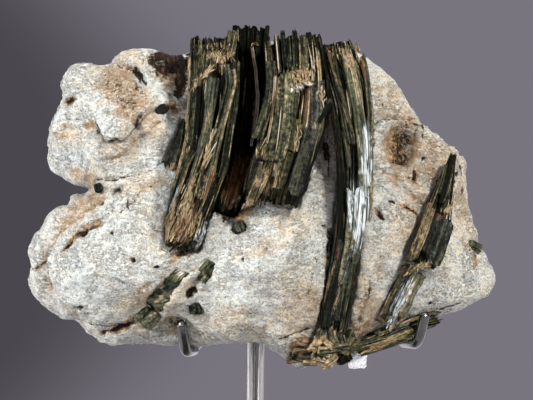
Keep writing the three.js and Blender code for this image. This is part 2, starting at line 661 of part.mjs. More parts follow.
function buildStand() {
  const stand = new THREE.Group();
  for (const [side, corners] of Object.entries({ left: LEFT_ARM, right: RIGHT_ARM })) {
    const path = new BentPath(corners);
    stand.add(meshOf(`${side}_arm_rod`, rodGeometry(path), "steel"));
    const covered = path.ending(SLEEVED_STOPS, BARE_TIP);
    stand.add(meshOf(`${side}_hook_sleeve`, sleeveGeometry(covered), "sleeve"));
  }
  stand.add(meshOf("back_rest_rod", rodGeometry(new BentPath(BACK_REST)), "steel"));
  const feet = [LEFT_ARM[0], RIGHT_ARM[0], BACK_REST[0]];
  stand.add(meshOf("base_plate", geometryOf(basePlateSolid(feet)), "base"));
  return stand;
}

const specimenOnStand = new THREE.Group();
specimenOnStand.add(buildSpecimen(), buildStand());

export default specimenOnStand;
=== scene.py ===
"""The actinolite specimen: dark green crystal sheaves in pale schist, held up by a bent steel stand.

Every size is in metres in the frame of the packed part: X to the right, Y to the back, Z up. The tables
that place things on the face of the rock are in millimetres, with heights counted from the post top.
"""

import math
import random

import bmesh
import bpy
import numpy as np
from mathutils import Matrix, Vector


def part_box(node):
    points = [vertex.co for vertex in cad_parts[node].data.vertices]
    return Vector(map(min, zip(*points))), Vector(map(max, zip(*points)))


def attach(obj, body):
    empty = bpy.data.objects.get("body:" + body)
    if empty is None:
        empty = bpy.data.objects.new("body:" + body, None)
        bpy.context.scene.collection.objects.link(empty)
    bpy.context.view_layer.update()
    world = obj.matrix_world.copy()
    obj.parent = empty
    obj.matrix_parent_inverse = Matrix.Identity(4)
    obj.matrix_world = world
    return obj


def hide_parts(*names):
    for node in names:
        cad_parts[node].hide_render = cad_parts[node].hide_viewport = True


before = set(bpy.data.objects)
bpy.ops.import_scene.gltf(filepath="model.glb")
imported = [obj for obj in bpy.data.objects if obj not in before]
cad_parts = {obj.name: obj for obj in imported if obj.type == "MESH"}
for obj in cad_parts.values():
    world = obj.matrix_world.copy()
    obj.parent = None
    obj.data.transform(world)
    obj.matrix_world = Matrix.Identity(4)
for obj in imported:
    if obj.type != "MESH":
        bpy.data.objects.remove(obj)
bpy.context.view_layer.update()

bl_info = {
    "name": "Actinolite Specimen",
    "version": (1, 0, 0),
    "blender": (4, 5, 0),
    "location": "3D View > Sidebar > Specimen",
    "description": "Builds a schist rock with dark green crystal sheaves, on a bent rod stand",
    "category": "Object",
}

BODY = "root"
OUTWARD = np.array([0.0, -1.0, 0.0])

# In metres.
MM = 0.001
MERGE_DISTANCE = 0.00001
BLOCK_VOXEL = 0.00042
CHIP_VOXEL = 0.00045
CHIP_BEVEL = 0.0004
ROD_RADIUS = 0.0022
SLEEVE_RADIUS = 0.00315
SLEEVE_WALL = 0.0005
SLEEVE_BEVEL = 0.00015

# In millimetres.
POST_TOP = 96.0
BEND_RADIUS = 9.0
BARE_TIP = 0.6
FAR_FROM_CRACK = 9.0

# In degrees: the angle from which an edge is drawn sharp.
BLADE_CREASE = 16
BLOCK_CREASE = 28
CHIP_CREASE = 24
BAR_CREASE = 50

# How finely bends, domes and the round of a bar are drawn.
BEND_STEPS = 10
DOME_STEPS = 8
BAR_FINENESS = 10

# How mottled a blade is, and what the tones of leading blades are multiplied by.
MOTTLE = 0.12
LEADING_TONE = 0.79

# Where in their ovals patches of colour and pits begin to fade, where they end, and how far noise shifts
# these places, as shares of the radius.
PATCH_CORE, PATCH_RIM = 0.35, 1.3
PIT_CORE, PIT_RIM = 0.35, 1.15
EDGE_WANDER = 0.25

# What the cells of the noise are told apart by.
CELL_CODES = np.array([73856093, 19349663, 83492791])
SEED_CODE = 2654435761


# ---- Routes of the sheaves ----------------------------------------------------------------------

# One row for each station: x, y and height of the middle of the front, half width, thickness, all in mm.
SHEAVES = {
    "middle_crystal_sheaf": [
        (22, -37, 184, 18, 38), (25, -46, 168, 17.4, 34), (26, -53, 153, 18.4, 31),
        (25.6, -56, 144, 18.8, 28), (22.6, -59, 127, 18, 25), (18.6, -61, 115, 18, 23),
        (14.5, -61, 103, 18.4, 21), (10.4, -60, 92, 17.8, 18), (8.7, -58, 83, 17.2, 14),
    ],
    "left_crystal_sheaf": [
        (-24, -37, 184, 14.4, 35), (-23.8, -43, 168, 15, 28), (-24.5, -48, 150, 14.8, 24),
        (-25.6, -52, 133, 15, 21), (-27.4, -55, 115, 14.4, 20), (-30, -56, 103, 13.8, 19),
        (-33.8, -56, 91, 13.2, 18), (-37.6, -55, 81, 12.6, 16), (-41, -53, 67, 12, 13),
        (-43, -50, 56, 10.8, 9),
    ],
    "right_crystal_sheaf": [
        (47.8, -33, 180, 10.2, 31), (51, -40, 168, 11.2, 26), (54.5, -46, 156, 12, 22),
        (56.5, -50, 144, 11, 20), (58, -53, 127, 9.4, 18), (58.4, -55, 109, 9.2, 17),
        (57.8, -56, 86, 9.6, 17), (56.3, -55, 71, 9.3, 16), (54.3, -53, 56, 8.8, 15),
        (51.5, -49, 39, 9.4, 13), (49.2, -46, 27, 9.5, 12), (47, -41, 15, 9.3, 11), (45.3, -36, 4, 9, 9),
    ],
    "recessed_crystal_sheaf": [
        (-2, -22, 190, 12, 34), (-2.6, -26, 169, 10.4, 28), (-4.9, -29, 145, 9.4, 24),
        (-7.3, -33, 121, 9.2, 20), (-11.4, -38, 102, 9, 15), (-16, -45, 86, 8.6, 11),
        (-18.4, -48, 78, 7.2, 8),
    ],
    "needle_crystal": [
        (-1.8, -30.6, 178, 0.72, 4.6), (1, -34.8, 162, 0.72, 4.6), (2.2, -38, 147, 0.72, 4.6),
        (1.0, -41, 131, 0.72, 4.6), (-1.6, -43, 118, 0.72, 4.6),
    ],
    "slanted_crystal_upper": [
        (118.5, -24, 114, 2, 7), (114, -31, 98, 4.8, 9), (109.5, -38, 83, 7.4, 12),
        (105.8, -43, 69, 9.6, 13), (101.6, -46, 58, 10.2, 13), (97.6, -46, 48, 10.2, 12),
    ],
    "slanted_crystal_lower": [
        (94.6, -41, 44, 7.8, 9), (89.5, -40, 34, 7.8, 9), (84.3, -36, 23, 7.8, 9), (79.4, -29, 12, 7.6, 8),
    ],
    "edge_crystal_band": [
        (59, -24, -3.4, 3.8, 14), (67.4, -26, -0.6, 4.6, 14), (79.3, -26, 4, 5.2, 14),
        (91.2, -23, 9.4, 5.4, 14), (101.3, -19, 13, 4.8, 12), (111, -15, 15, 4.6, 10),
    ],
    "foot_crystal_cluster": [
        (21.5, -26, -5, 3.6, 13), (32.9, -33, -5, 5.4, 15), (44.6, -36, -5.4, 5.6, 15),
        (54.6, -34, -5, 4.4, 13),
    ],
    "side_blade_crystal": [
        (-41, -36, 134, 0.8, 5), (-43.8, -42, 120, 2.8, 7), (-47.4, -44, 108, 4.4, 8),
        (-48.6, -44, 103, 2.8, 8),
    ],
}

# How each sheaf is filled: blades across, layers deep, tone and its spread, gloss, ragged ends in mm, seed.
FILLS = {
    "middle_crystal_sheaf": (12, 5, 0.21, 0.17, 0.45, (9, 8), 11),
    "left_crystal_sheaf": (12, 5, 0.18, 0.17, 0.4, (9, 8), 5),
    "right_crystal_sheaf": (8, 4, 0.26, 0.16, 0.9, (6, 7), 23),
    # The recessed sheaf is toned almost black: its own dark green with the shade of the recess painted in.
    "recessed_crystal_sheaf": (9, 4, 0.04, 0.08, 0.1, (8, 6), 31),
    # Painted light: the needle is toned bright, so that it reads lit where it stands in the shade of the
    # sheaves.
    "needle_crystal": (1, 1, 1.0, 0.02, 1.0, (1, 1), 62),
    "slanted_crystal_upper": (6, 3, 0.24, 0.12, 0.6, (3, 4), 41),
    "slanted_crystal_lower": (6, 3, 0.56, 0.08, 0.9, (4, 4), 43),
    "edge_crystal_band": (6, 3, 0.44, 0.16, 0.5, (7, 6), 47),
    "foot_crystal_cluster": (6, 3, 0.32, 0.14, 0.4, (6, 6), 53),
    "side_blade_crystal": (1, 2, 0.14, 0.03, 0.7, (2, 1), 67),
}

# Fine splinters laid on each sheaf, beside those on its leading blades.
SPLINTERS = {
    "middle_crystal_sheaf": 30, "left_crystal_sheaf": 30, "right_crystal_sheaf": 14,
    "recessed_crystal_sheaf": 6, "slanted_crystal_upper": 5, "slanted_crystal_lower": 5,
    "edge_crystal_band": 8,
}

# Broken fibres on a sheaf: x and height of the middle, reach across and down, angle of that oval, how many,
# direction from straight down and its spread in degrees, length in mm, tone, how far proud in mm.
BURSTS = {
    "left_crystal_sheaf": [
        (-21, 171, 10, 6, 12, 70, 10, 40, 4.4, 0.62, 2.2),
        (-28.5, 161, 9, 1.4, 42, 30, 44, 26, 5, 0.84, 2.4),
        (-27.4, 113, 1.8, 11, -18, 22, 18, 12, 8, 0.78, 3.0),
        (-41, 70, 8, 9, -25, 60, 24, 20, 8, 0.68, 2.8), (-41, 60, 9, 4, 20, 44, 30, 70, 4, 0.5, 3.0),
        (-38, 94, 3, 12, -22, 12, 22, 10, 8, 0.66, 2.4), (-41, 61, 9, 3, 20, 26, 30, 70, 3.4, 0.04, 3.2),
    ],
    "middle_crystal_sheaf": [
        (27, 158.5, 8, 4.4, 8, 90, 0, 44, 4.4, 0.64, 2.8),
        (28, 152.8, 6, 1.0, 16, 22, -60, 30, 4, 1.0, 3.6),
        (25.5, 124, 1.8, 10, -6, 30, 6, 20, 6, 0.74, 3.0), (39, 146, 3.4, 5, 0, 24, 0, 40, 5, 0.84, 2.2),
        (5, 112, 7, 12, -20, 12, 18, 24, 6, 0.6, 3.0), (8, 104, 4, 9, 10, 22, 30, 50, 4, 0.03, 3.2),
        (1, 84, 9, 2.4, 10, 26, 20, 70, 3.4, 0.3, 3.0),
    ],
    "right_crystal_sheaf": [
        (50, 172, 6, 5, 10, 20, -12, 24, 5, 0.6, 2.4), (61, 167, 2.4, 8, 14, 16, -12, 12, 6, 0.6, 2.4),
        (46, 7, 8, 3, 0, 10, 16, 30, 4, 0.6, 2.2),
    ],
    "slanted_crystal_upper": [
        (98, 47, 7, 2.0, 20, 30, 30, 60, 3, 0.6, 1.8), (112, 79, 5, 2, 30, 16, 30, 50, 3, 0.8, 1.8),
    ],
    "slanted_crystal_lower": [
        (92, 42, 6, 2, 20, 14, 28, 40, 3, 0.66, 1.6), (81, 14, 4, 4, 0, 10, 28, 20, 5, 0.98, 1.8),
    ],
    "edge_crystal_band": [
        (77, 0.6, 12, 1.6, 25, 20, 66, 8, 8, 0.74, 2.6),
    ],
    "foot_crystal_cluster": [
        (43, -6, 7, 4, 10, 14, 50, 80, 1.8, 0.62, 2.6), (30, 0.6, 9, 2.0, -4, 14, 70, 60, 2.0, 0.64, 2.2),
        (52, -8, 5, 3, 0, 16, 50, 80, 4, 0.02, 1.6),
    ],
}

# Blocks in the jumble at the foot: x, height, direction from level in degrees, half length, half width,
# how far proud, tone, gloss.
FOOT_BLOCKS = [
    (29.4, -6.2, -6, 7.4, 3.8, 2.4, 0.0, 0.9), (39.4, -7.6, -14, 4.4, 2.6, 2.6, 0.06, 0.8),
    (22, -1.6, 20, 4, 2.2, 1.8, 0.8, 0.2), (27, 1.8, -15, 5.4, 2.0, 2.2, 0.84, 0.2),
    (36, 0.2, 35, 4.4, 2.2, 2.0, 0.8, 0.2), (40.2, 7, 70, 8, 4.0, 2.2, 0.42, 0.7),
    (49.4, 5.2, 112, 8.4, 4.8, 2.8, 0.4, 0.9), (56, 3.4, 64, 6, 3.0, 2.0, 0.52, 0.6),
    (47.6, -1.8, 10, 9, 2.8, 3.4, 0.3, 0.8), (42, -4.2, -20, 4.4, 2.4, 2.6, 0.72, 0.2),
    (46, -8.8, 40, 4.2, 2.6, 2.4, 0.6, 0.2), (52.4, -8.4, 26, 5.0, 3.0, 1.0, 0.02, 0.3),
    (36, -5.5, 60, 3, 1.8, 3.0, 0.7, 0.2), (24, -8.4, 12, 5, 2.0, 0.8, 0.6, 0.3),
    (33, -10.4, -5, 4.4, 1.8, 1.2, 0.44, 0.4), (43, -12, 20, 3.4, 1.8, 1.4, 0.66, 0.2),
    (37.4, 3.4, -60, 3, 1.6, 2.8, 0.86, 0.2), (53, -3.4, -30, 3.4, 1.8, 3.0, 0.46, 0.5),
    (34, -2.4, 10, 3, 1.4, 3.2, 0.04, 0.7), (58.6, -1.0, 30, 5.4, 2.6, 2.2, 0.46, 0.5),
    (44, 0.6, 140, 3.4, 1.6, 3.6, 0.62, 0.4),
]

# Small crystals set into the rock: tone, gloss, mottle, lean of their lines in degrees, how much wider than
# their seats, how far they are lifted out and how far they are moved in x and height, in mm.
BLOCKS = {
    "channel_crystal_upper": (0.3, 0.5, 0.3, -42, 1.16, 0.4, (0, 0)),
    "channel_crystal_middle": (0.34, 0.6, 0.44, -42, 1.36, 0.9, (0, 0)),
    "channel_crystal_lower": (0.32, 0.6, 0.36, -42, 1.36, 0.9, (0, 0)),
    "branch_crystal": (0.3, 0.5, 0.6, -38, 1.2, 0.6, (0, 0)),
    "square_crystal": (0.22, 0.9, 0.3, 24, 1.16, 0.5, (0, 0)),
    "pocket_crystal": (0.2, 0.5, 1.0, 30, 1.14, 0.2, (0, 0)),
    "notch_crystal": (0.2, 0.6, 0.4, 0, 1.2, 0.9, (0, 0)),
    "rim_crystal": (0.34, 0.4, 0.6, 60, 1.1, 0.2, (0, 0)),
    "shelf_crystal": (0.42, 0.7, 0.3, 10, 1.2, 0.6, (0, 0)),
    "pit_crystal": (0.04, 1.0, 0.2, 40, 1.9, 4.4, (2.4, 0.6)),
    "lower_left_crystal": (0.2, 0.5, 0.6, 60, 1.3, 0.8, (0, 0)),
}

# Blades that stand out at the front of a sheaf: half width and how far proud in mm, tone, gloss, and a route
# of x and height from the top down.
LEADING_BLADES = {
    "left_crystal_sheaf": [
        (0.8, 0.2, 0.9, 0.2, [
            (-38.2, 170), (-38.4, 152), (-38.6, 138), (-39.6, 122), (-43.2, 108), (-48.4, 90),
        ]),
        (1.9, 1.2, 0.4, 0.3, [
            (-35.2, 179), (-35.4, 156), (-35.8, 144), (-37.2, 121), (-41.4, 105), (-46.6, 84), (-50.4, 64),
        ]),
        (2.4, 2.2, 0.42, 0.4, [(-32.6, 181), (-32.8, 160), (-33.6, 152)]),
        (2.8, 2.6, 0.42, 0.3, [(-28.0, 180), (-28.6, 170), (-29.6, 158)]),
        (2.6, 1.6, 0.4, 0.3, [(-23.4, 179), (-24.0, 170), (-25.0, 163)]),
        (2.2, 1.4, 0.42, 0.3, [(-18.4, 183), (-19.0, 174), (-20.2, 166)]),
        (3.2, 2.4, 0.4, 0.3, [(-12.4, 186), (-13.2, 178), (-14.6, 170)]),
        (2.2, 1.8, 0.48, 0.3, [(-36.0, 152), (-36.4, 138), (-37.6, 121), (-40.0, 112)]),
        (2.2, 2.6, 0.36, 0.5, [
            (-24.4, 160), (-26.0, 144), (-28.4, 127), (-32.6, 109), (-39.0, 86), (-43.8, 71),
        ]),
        (1.6, 1.8, 0.3, 0.5, [(-21.4, 161), (-23.2, 144), (-26.2, 127), (-30.2, 106), (-36.2, 83)]),
        (3.2, 2.2, 0.5, 0.5, [
            (-15.0, 166), (-13.4, 156), (-17.0, 141), (-20.4, 127), (-25.2, 106), (-30.6, 86),
        ]),
        (2.0, 1.2, 0.44, 0.3, [
            (-10.4, 168), (-10.8, 150), (-12.6, 136), (-15.0, 121), (-16.8, 106), (-19.6, 98),
        ]),
        (2.4, 1.6, 0.44, 0.5, [(-35.4, 115), (-40.4, 106), (-45.0, 92), (-49.8, 77), (-52.0, 60)]),
        (1.5, 2.4, 0.5, 0.2, [(-27.6, 120), (-31.4, 108), (-35.8, 96), (-40.4, 84)]),
        (0.9, 2.8, 0.86, 0.3, [(-24.0, 106), (-26.6, 96), (-29.6, 84)]),
        (1.8, 1.8, 0.24, 0.7, [(-22.0, 104), (-25.6, 92), (-30.4, 80), (-34.4, 72)]),
        (1.6, 1.6, 0.52, 0.3, [(-40.0, 82), (-44.0, 72), (-47.6, 62)]),
        (1.4, 2.0, 0.6, 0.3, [(-36.4, 80), (-40.0, 70), (-43.4, 60)]),
        (1.3, 1.4, 0.5, 0.3, [(-33.4, 78), (-36.4, 68), (-39.4, 59)]),
        (2.2, 1.0, 0.62, 0.5, [(-29.4, 74), (-31.6, 66), (-35.4, 57)]),
    ],
    "middle_crystal_sheaf": [
        (1.5, 0.6, 0.37, 0.3, [(7.6, 178), (8.4, 166), (9.0, 156)]),
        (1.3, 1.6, 0.33, 0.3, [(13.0, 184), (14.0, 172), (15.0, 160)]),
        (1.2, 2.2, 0.41, 0.3, [(16.4, 186), (17.4, 174), (18.2, 162)]),
        (1.3, 1.4, 0.33, 0.3, [(19.6, 184), (20.4, 172), (21.0, 162)]),
        (1.4, 2.4, 0.37, 0.3, [(23.4, 187), (24.0, 174), (24.6, 160)]),
        (2.6, 2.0, 0.33, 0.3, [(28.6, 183), (29.6, 168), (28.8, 158)]),
        (1.8, 1.0, 0.37, 0.3, [(33.6, 181), (34.6, 168), (35.2, 152)]),
        (0.9, 2.2, 0.59, 0.3, [(37.0, 176), (38.2, 162), (38.8, 150)]),
        (3.6, 2.0, 0.48, 0.5, [(9.4, 168), (10.6, 156), (9.4, 144), (4.8, 130), (0.6, 119)]),
        (2.2, 0.8, 0.38, 0.5, [(12.6, 158), (13.2, 142), (10.4, 126), (6.6, 112)]),
        (0.7, 3.6, 0.86, 0.3, [(12.2, 161), (11.8, 146), (10.2, 132), (7.6, 119)]),
        (5.0, 3.0, 0.5, 0.5, [(18.0, 161), (17.6, 146), (16.6, 132), (14.6, 120), (12.4, 108)]),
        (2.0, 2.2, 0.44, 0.5, [(24.2, 158), (23.4, 142), (22.0, 126), (20.4, 114)]),
        (4.2, 2.6, 0.36, 0.9, [
            (36.4, 156), (36.4, 141), (35.0, 128), (31.6, 117), (27.8, 104), (24.4, 92), (22.2, 86),
        ]),
        (1.7, 1.4, 0.42, 0.5, [(31.0, 150), (30.4, 138), (29.0, 126)]),
        (1.5, 1.6, 0.7, 0.2, [(25.6, 134), (24.6, 122), (24.2, 113)]),
        (3.0, 2.2, 0.54, 0.6, [(16.8, 116), (14.6, 108), (11.4, 93)]),
        (2.0, 1.6, 0.5, 0.5, [(20.6, 114), (18.0, 104), (15.0, 92)]),
        (2.4, 1.6, 0.4, 0.5, [(5.4, 122), (2.2, 110), (-1.4, 98), (-5.0, 86)]),
        (2.2, 2.4, 0.48, 0.4, [(8.6, 118), (4.8, 104), (0.4, 92), (-3.2, 82)]),
        (1.6, 2.8, 0.46, 0.5, [(10.2, 112), (8.2, 102), (3.8, 92), (-1.4, 83)]),
        (1.3, 3.4, 0.12, 0.8, [(45.0, 145), (41.6, 138), (37.6, 131)]),
    ],
    "right_crystal_sheaf": [
        (1.8, 0.2, 0.16, 0.3, [
            (40.0, 178), (43.4, 157), (46.6, 139), (49.0, 121), (50.2, 103), (50.8, 86), (51.4, 68),
            (48.4, 50), (46.6, 33),
        ]),
        (0.8, 2.2, 0.7, 0.3, [(42, 177), (45.6, 164), (50.4, 148), (55, 133), (58.4, 122)]),
        (2.8, 1.6, 0.5, 0.5, [(44.6, 177), (47.6, 157), (53.0, 136), (57.2, 118)]),
        (3.4, 2.8, 0.56, 0.6, [
            (53.2, 177), (57.4, 157), (60.6, 139), (63.4, 121), (64.2, 103), (65.0, 86),
        ]),
        (1.8, 2.0, 0.56, 0.6, [(62.2, 176), (66.2, 160), (68.0, 139), (68.2, 116), (67.6, 90), (66.4, 68)]),
        (1.4, 1.0, 0.46, 0.9, [(51.6, 133), (54.4, 117), (55.6, 104)]),
        (2.8, 2.2, 0.4, 1.0, [(57.0, 96), (57.2, 78), (56.2, 62), (53.4, 47), (50.2, 32)]),
        (2.8, 2.8, 0.4, 1.0, [(62.2, 95), (61.6, 78), (60.4, 62), (57.0, 46)]),
        (2.8, 1.4, 0.4, 1.0, [(58.0, 60), (55.0, 44), (51.8, 28), (48.4, 12)]),
        (2.4, 0.8, 0.36, 1.0, [(52.0, 62), (49.6, 46), (46.4, 28), (43.2, 12)]),
        (2.0, 1.8, 0.4, 1.0, [(56.0, 44), (53.6, 30), (51.0, 14)]),
    ],
    "slanted_crystal_upper": [
        (1.2, 0.6, 0.6, 0.4, [(115.6, 112), (111.6, 98), (107.4, 84)]),
        (1.8, 1.2, 0.14, 0.5, [(118, 112), (114.6, 98), (110.6, 84)]),
        (6.6, 2.6, 0.06, 1.0, [(112.8, 77.6), (108.4, 63), (102.8, 49)]),
        (3.4, 0.6, 0.56, 0.4, [(105, 84), (98.6, 66), (92.4, 50)]),
        (0.5, 1.8, 0.56, 0.4, [(107, 82), (101.4, 66), (95.6, 52)]),
    ],
    "slanted_crystal_lower": [
        (6.6, 1.6, 0.56, 1.0, [(94.4, 43.6), (88.6, 31), (83.0, 19), (81.2, 14.6)]),
        (0.8, 2.0, 0.86, 0.6, [(99.4, 43), (94.0, 31), (88.2, 20)]),
        (1.2, 2.4, 1.1, 0.8, [(84.6, 19), (81.6, 12), (79.4, 8)]),
    ],
    "needle_crystal": [
        # Painted light: the needle's leading blade is toned bright, though it stands in shade.
        (0.8, 1.0, 0.9, 0.4, [(-2.4, 174.6), (-1.2, 178), (1.0, 178.8), (2.6, 177.4)]),
    ],
    "edge_crystal_band": [
        (4.2, 1.2, 0.52, 0.8, [(59, -2), (67, 0.4), (76, 4)]),
        (2.0, 1.4, 0.4, 0.7, [(72, 5), (80, 8), (93, 12)]),
        (1.6, 1.6, 0.72, 0.3, [(60, -3.6), (72, 0), (84, 4), (95, 8.6)]),
        (1.1, 2.0, 0.5, 0.4, [(66, -4), (78, -0.6), (90, 4)]),
        (1.5, 0.8, 0.3, 0.6, [(60, -6.4), (70, -3.4), (82, 0.4), (94, 5)]),
        (2.4, 0.6, 0.0, 0.6, [(95.6, 9.6), (100, 11.6), (103, 12.6)]),
        (2.2, 0.8, 0.36, 0.6, [(101, 13.6), (107, 15.6), (112, 17)]),
    ],
}

# Colour patches on the sheaves: x, height, long radius, short radius (mm), angle from level, strength. Some
# pale, dark and rust patches are painted light and shade, as said below.
SHEAF_PATCHES = {
    "gold": [
        (-22, 171, 8, 4, 10, 0.7), (-30, 158, 12, 2.2, 48, 1.0), (-17, 168, 10, 2.4, 50, 0.9),
        (-39.4, 142, 1.4, 30, 0, 0.6), (-27.4, 134, 14, 2.2, 72, 0.5), (-27.6, 112, 11, 1.8, 74, 1.0),
        (-40, 74, 16, 8, 62, 0.8), (-30, 92, 16, 6, 66, 0.4), (-37.6, 92, 14, 2.0, 68, 0.9),
        (-49.4, 72, 14, 2.6, 78, 0.9), (-35, 70, 12, 3, 66, 0.6), (27.6, 158, 7.5, 4.5, 0, 1.0),
        (37.6, 166, 2, 9, 0, 0.7), (24.4, 122, 1.6, 10, 0, 0.8), (12, 146, 2.6, 12, -6, 0.6),
        (19, 152, 5, 4, 0, 0.5), (5, 112, 5, 3, 0, 0.3), (-3, 84, 6, 3, 20, 0.9),
        (36.5, 146, 4.6, 0.7, 0, 0.9), (36, 128.5, 4.2, 0.7, 0, 0.7), (14, 97, 2, 8, -14, 0.4),
        (8, 98, 11, 8, 60, 0.6), (56, 168, 6, 9, 12, 0.6), (60.6, 150, 0.8, 14, 8, 0.6),
        (-13.6, 87, 6, 9, -20, 0.8), (-0.4, 136, 1.0, 22, -4, 0.6), (54.6, 100, 4, 3.4, 0, 0.9),
        (43.6, 36, 0.9, 18, -14, 0.8), (50.4, 34, 0.5, 18, -14, 0.9), (47.4, 26, 0.4, 14, -14, 0.8),
        (113, 79.6, 5, 2, 40, 0.8), (99, 47, 8, 2.4, 20, 0.7), (97, 64, 2.6, 14, -26, 0.5),
        (76, 0.6, 13, 2.4, 22, 0.7), (35, 1, 16, 5, 8, 1.0), (36, -9.4, 15, 3.4, -6, 0.9),
        (-48.6, 104, 6, 3, 0, 1.0), (-44, 42, 4, 4, 0, 0.6), (-56, 27.6, 4, 2.2, 40, 0.6),
        (-60, 18, 3.4, 1.6, 30, 0.6),
    ],
    # Rust: stained streaks. The long faint strip at x 48 on the left wall of the right sheaf is partly
    # painted shade.
    "rust": [
        (-43, 69, 12, 2.6, 62, 0.9), (-38, 66, 9, 1.4, 60, 0.8), (-26.4, 94, 9, 1.7, 70, 1.0),
        (30, 142, 2.6, 13, 0, 0.9), (44, 172, 1.6, 9, 14, 0.7), (63.4, 166, 1.6, 12, 14, 0.9),
        (48, 120, 1.6, 28, 6, 0.3), (-11, 98, 6, 18, -20, 1.0), (60, 78, 0.8, 18, 3, 0.9),
        (63.4, 74, 0.6, 14, 3, 0.8), (48.6, 60, 1.6, 16, 4, 0.45), (110, 76, 5, 2, 40, 0.8),
        (74, -0.6, 9, 2, 24, 0.5), (30, 0, 8, 4, 0, 0.4),
    ],
    # Pale: bleached faces, and painted glints. The glints are the bright streaks down the right sheaf and at
    # the lower end of the lower slanted crystal.
    "pale": [
        (-46, 88, 16, 1.0, 66, 0.8), (-33.8, 123, 1.4, 1.4, 0, 1.0), (-32, 64, 10, 3, 64, 0.9),
        (24.6, 150.5, 4, 1.8, 15, 1.0), (14, 108, 2.0, 12, -14, 0.35), (65.6, 112, 4.0, 25, 0, 0.8),
        (60.6, 76, 7.0, 25, 3, 0.85), (66, 80, 1.6, 22, 0, 0.9), (54.6, 48, 1.4, 10, -14, 0.5),
        (90, 32, 1.6, 12, -26, 0.6), (87, 28, 5.4, 17, -26, 0.62), (81.6, 14, 2.6, 6, -26, 1.0),
        (82, 7, 10, 2.4, 22, 0.4), (-43.6, 42.6, 3, 3.4, 0, 0.5), (-52.4, 29, 2, 2, 0, 0.3),
    ],
    # Dark: painted shade in the grooves and gaps between blades and in the shadowed parts of the sheaves,
    # over the crystals' own dark green.
    "dark": [
        (-33, 116, 2.6, 16, -10, 0.8), (-40.4, 68, 10, 0.8, 62, 0.9), (-45.6, 74, 12, 0.7, 64, 0.9),
        (-32, 140, 4, 20, 0, 1.0), (-21, 148, 3, 16, 0, 0.8), (-38, 60, 8, 3, 20, 0.8),
        (30, 140, 2, 14, 0, 0.6), (26.4, 116, 2, 10, 0, 0.9), (9.8, 102, 1.4, 9, 0, 1.0),
        (11, 140, 1.0, 10, -8, 1.0), (16.6, 126, 0.8, 8, -10, 0.9), (3.4, 101, 2.6, 3.4, 30, 1.0),
        (21.6, 104, 2.0, 14, -14, 0.9), (46.6, 150, 1.5, 24, 16, 1.0), (57, 109, 3, 10, 6, 1.0),
        (57.4, 78, 0.8, 20, 3, 1.0), (52.6, 80, 1.4, 20, 0, 0.9), (30, -6.2, 7, 3, -6, 1.0),
        (-50, 35.4, 4, 4, 48, 1.0),
    ],
}


# ---- What is seen on the face of the rock -------------------------------------------------------

# Cracks and ledges: depth and width in mm, rust beside it from 0 to 1, and a route of x and height.
CRACKS = [
    (2.0, 1.6, 0.15, [(-80, 92), (-91, 83.4), (-101.6, 75), (-110.6, 69.2), (-116, 64.6)]),
    (1.6, 0.9, 0.2, [
        (-66, 134.5), (-68.1, 131.9), (-70.3, 128.9), (-76.3, 122.5), (-80.8, 121.1), (-86.1, 119.5),
        (-89.9, 124.6), (-92.9, 128.2),
    ]),
    (1.2, 0.8, 0.5, [(-82.3, 165.7), (-74.1, 162.7), (-66.7, 159.7), (-64.3, 155.2)]),
    (0.5, 0.6, 0.3, [(-100.3, 133.1), (-105.6, 133.5), (-110.8, 134.9)]),
    (0.5, 0.6, 0.4, [(-63.5, 101.2), (-56.8, 106), (-52.3, 110.2)]),
    (0.8, 0.7, 0.5, [(-93.6, 97.4), (-85.3, 96.6), (-78.6, 98.9), (-74.1, 100.4)]),
    (0.9, 0.9, 0.7, [(-90, 70.3), (-96.6, 66.2), (-102.4, 63.7), (-110.6, 57.1)]),
    (1.0, 0.7, 1.0, [(-123, 51.3), (-128, 47.2), (-132.9, 44.7)]),
    (0.8, 0.7, 1.0, [(-120.9, 48), (-121.8, 43.1), (-120.1, 39), (-118.5, 33.2)]),
    (2.6, 1.9, 0.8, [(-90.4, 5.8), (-81.7, 8.8), (-75.1, 11.3), (-69.6, 14.5)]),
    (0.3, 0.4, 0.0, [(-87.5, 43.9), (-81.7, 40.6), (-75.1, 35.7), (-69.3, 30.7)]),
    (0.7, 0.8, 0.6, [(37.2, 11.5), (33.2, 9.5), (23, 5.4), (15, 3)]),
    (0.9, 0.6, 0.3, [(71.9, 146.1), (76.4, 142.7)]),
    (1.4, 0.9, 0.4, [(70, 130), (76, 133.5), (84, 134), (92, 132.6), (98, 128.6), (100, 122)]),
    (0.9, 0.8, 0.2, [(78.7, 84.6), (82.8, 83.4)]),
    (0.9, 0.9, 1.0, [(88.7, 82.3), (93.3, 79.4), (97, 77.6)]),
    (0.8, 0.6, 0.8, [(67.5, 36), (67.6, 28)]),
    (0.8, 0.6, 0.3, [(102.7, 18.1), (116.2, 21.9), (123.7, 24.9)]),
    (1.0, 0.9, 0.4, [(42.6, 127), (43.4, 118), (44.4, 108), (44.2, 100)]),
    (0.5, 0.6, 0.5, [(44, 60), (42.4, 50), (40.6, 38)]),
    (0.4, 0.5, 0.4, [(36.5, 52), (34, 40), (30, 28)]),
    (0.6, 0.7, 0.5, [(-108.5, 24.5), (-105, 17), (-96.8, 14.5), (-85, 11.5), (-73, 12.2)]),
    (0.9, 0.7, 0.3, [(109.9, 99), (108.7, 90)]),
    (0.6, 0.6, 0.5, [(120.5, 108.2), (124, 99.9), (125.2, 89.3)]),
    (0.7, 0.7, 0.3, [(69, 130), (69.6, 121), (71, 114)]),
    (0.4, 0.5, 0.6, [(-55, 99), (-62, 92), (-70, 84), (-80, 76)]),
    (0.4, 0.5, 0.3, [(-60, 60), (-66, 66), (-72, 76), (-74, 88)]),
]
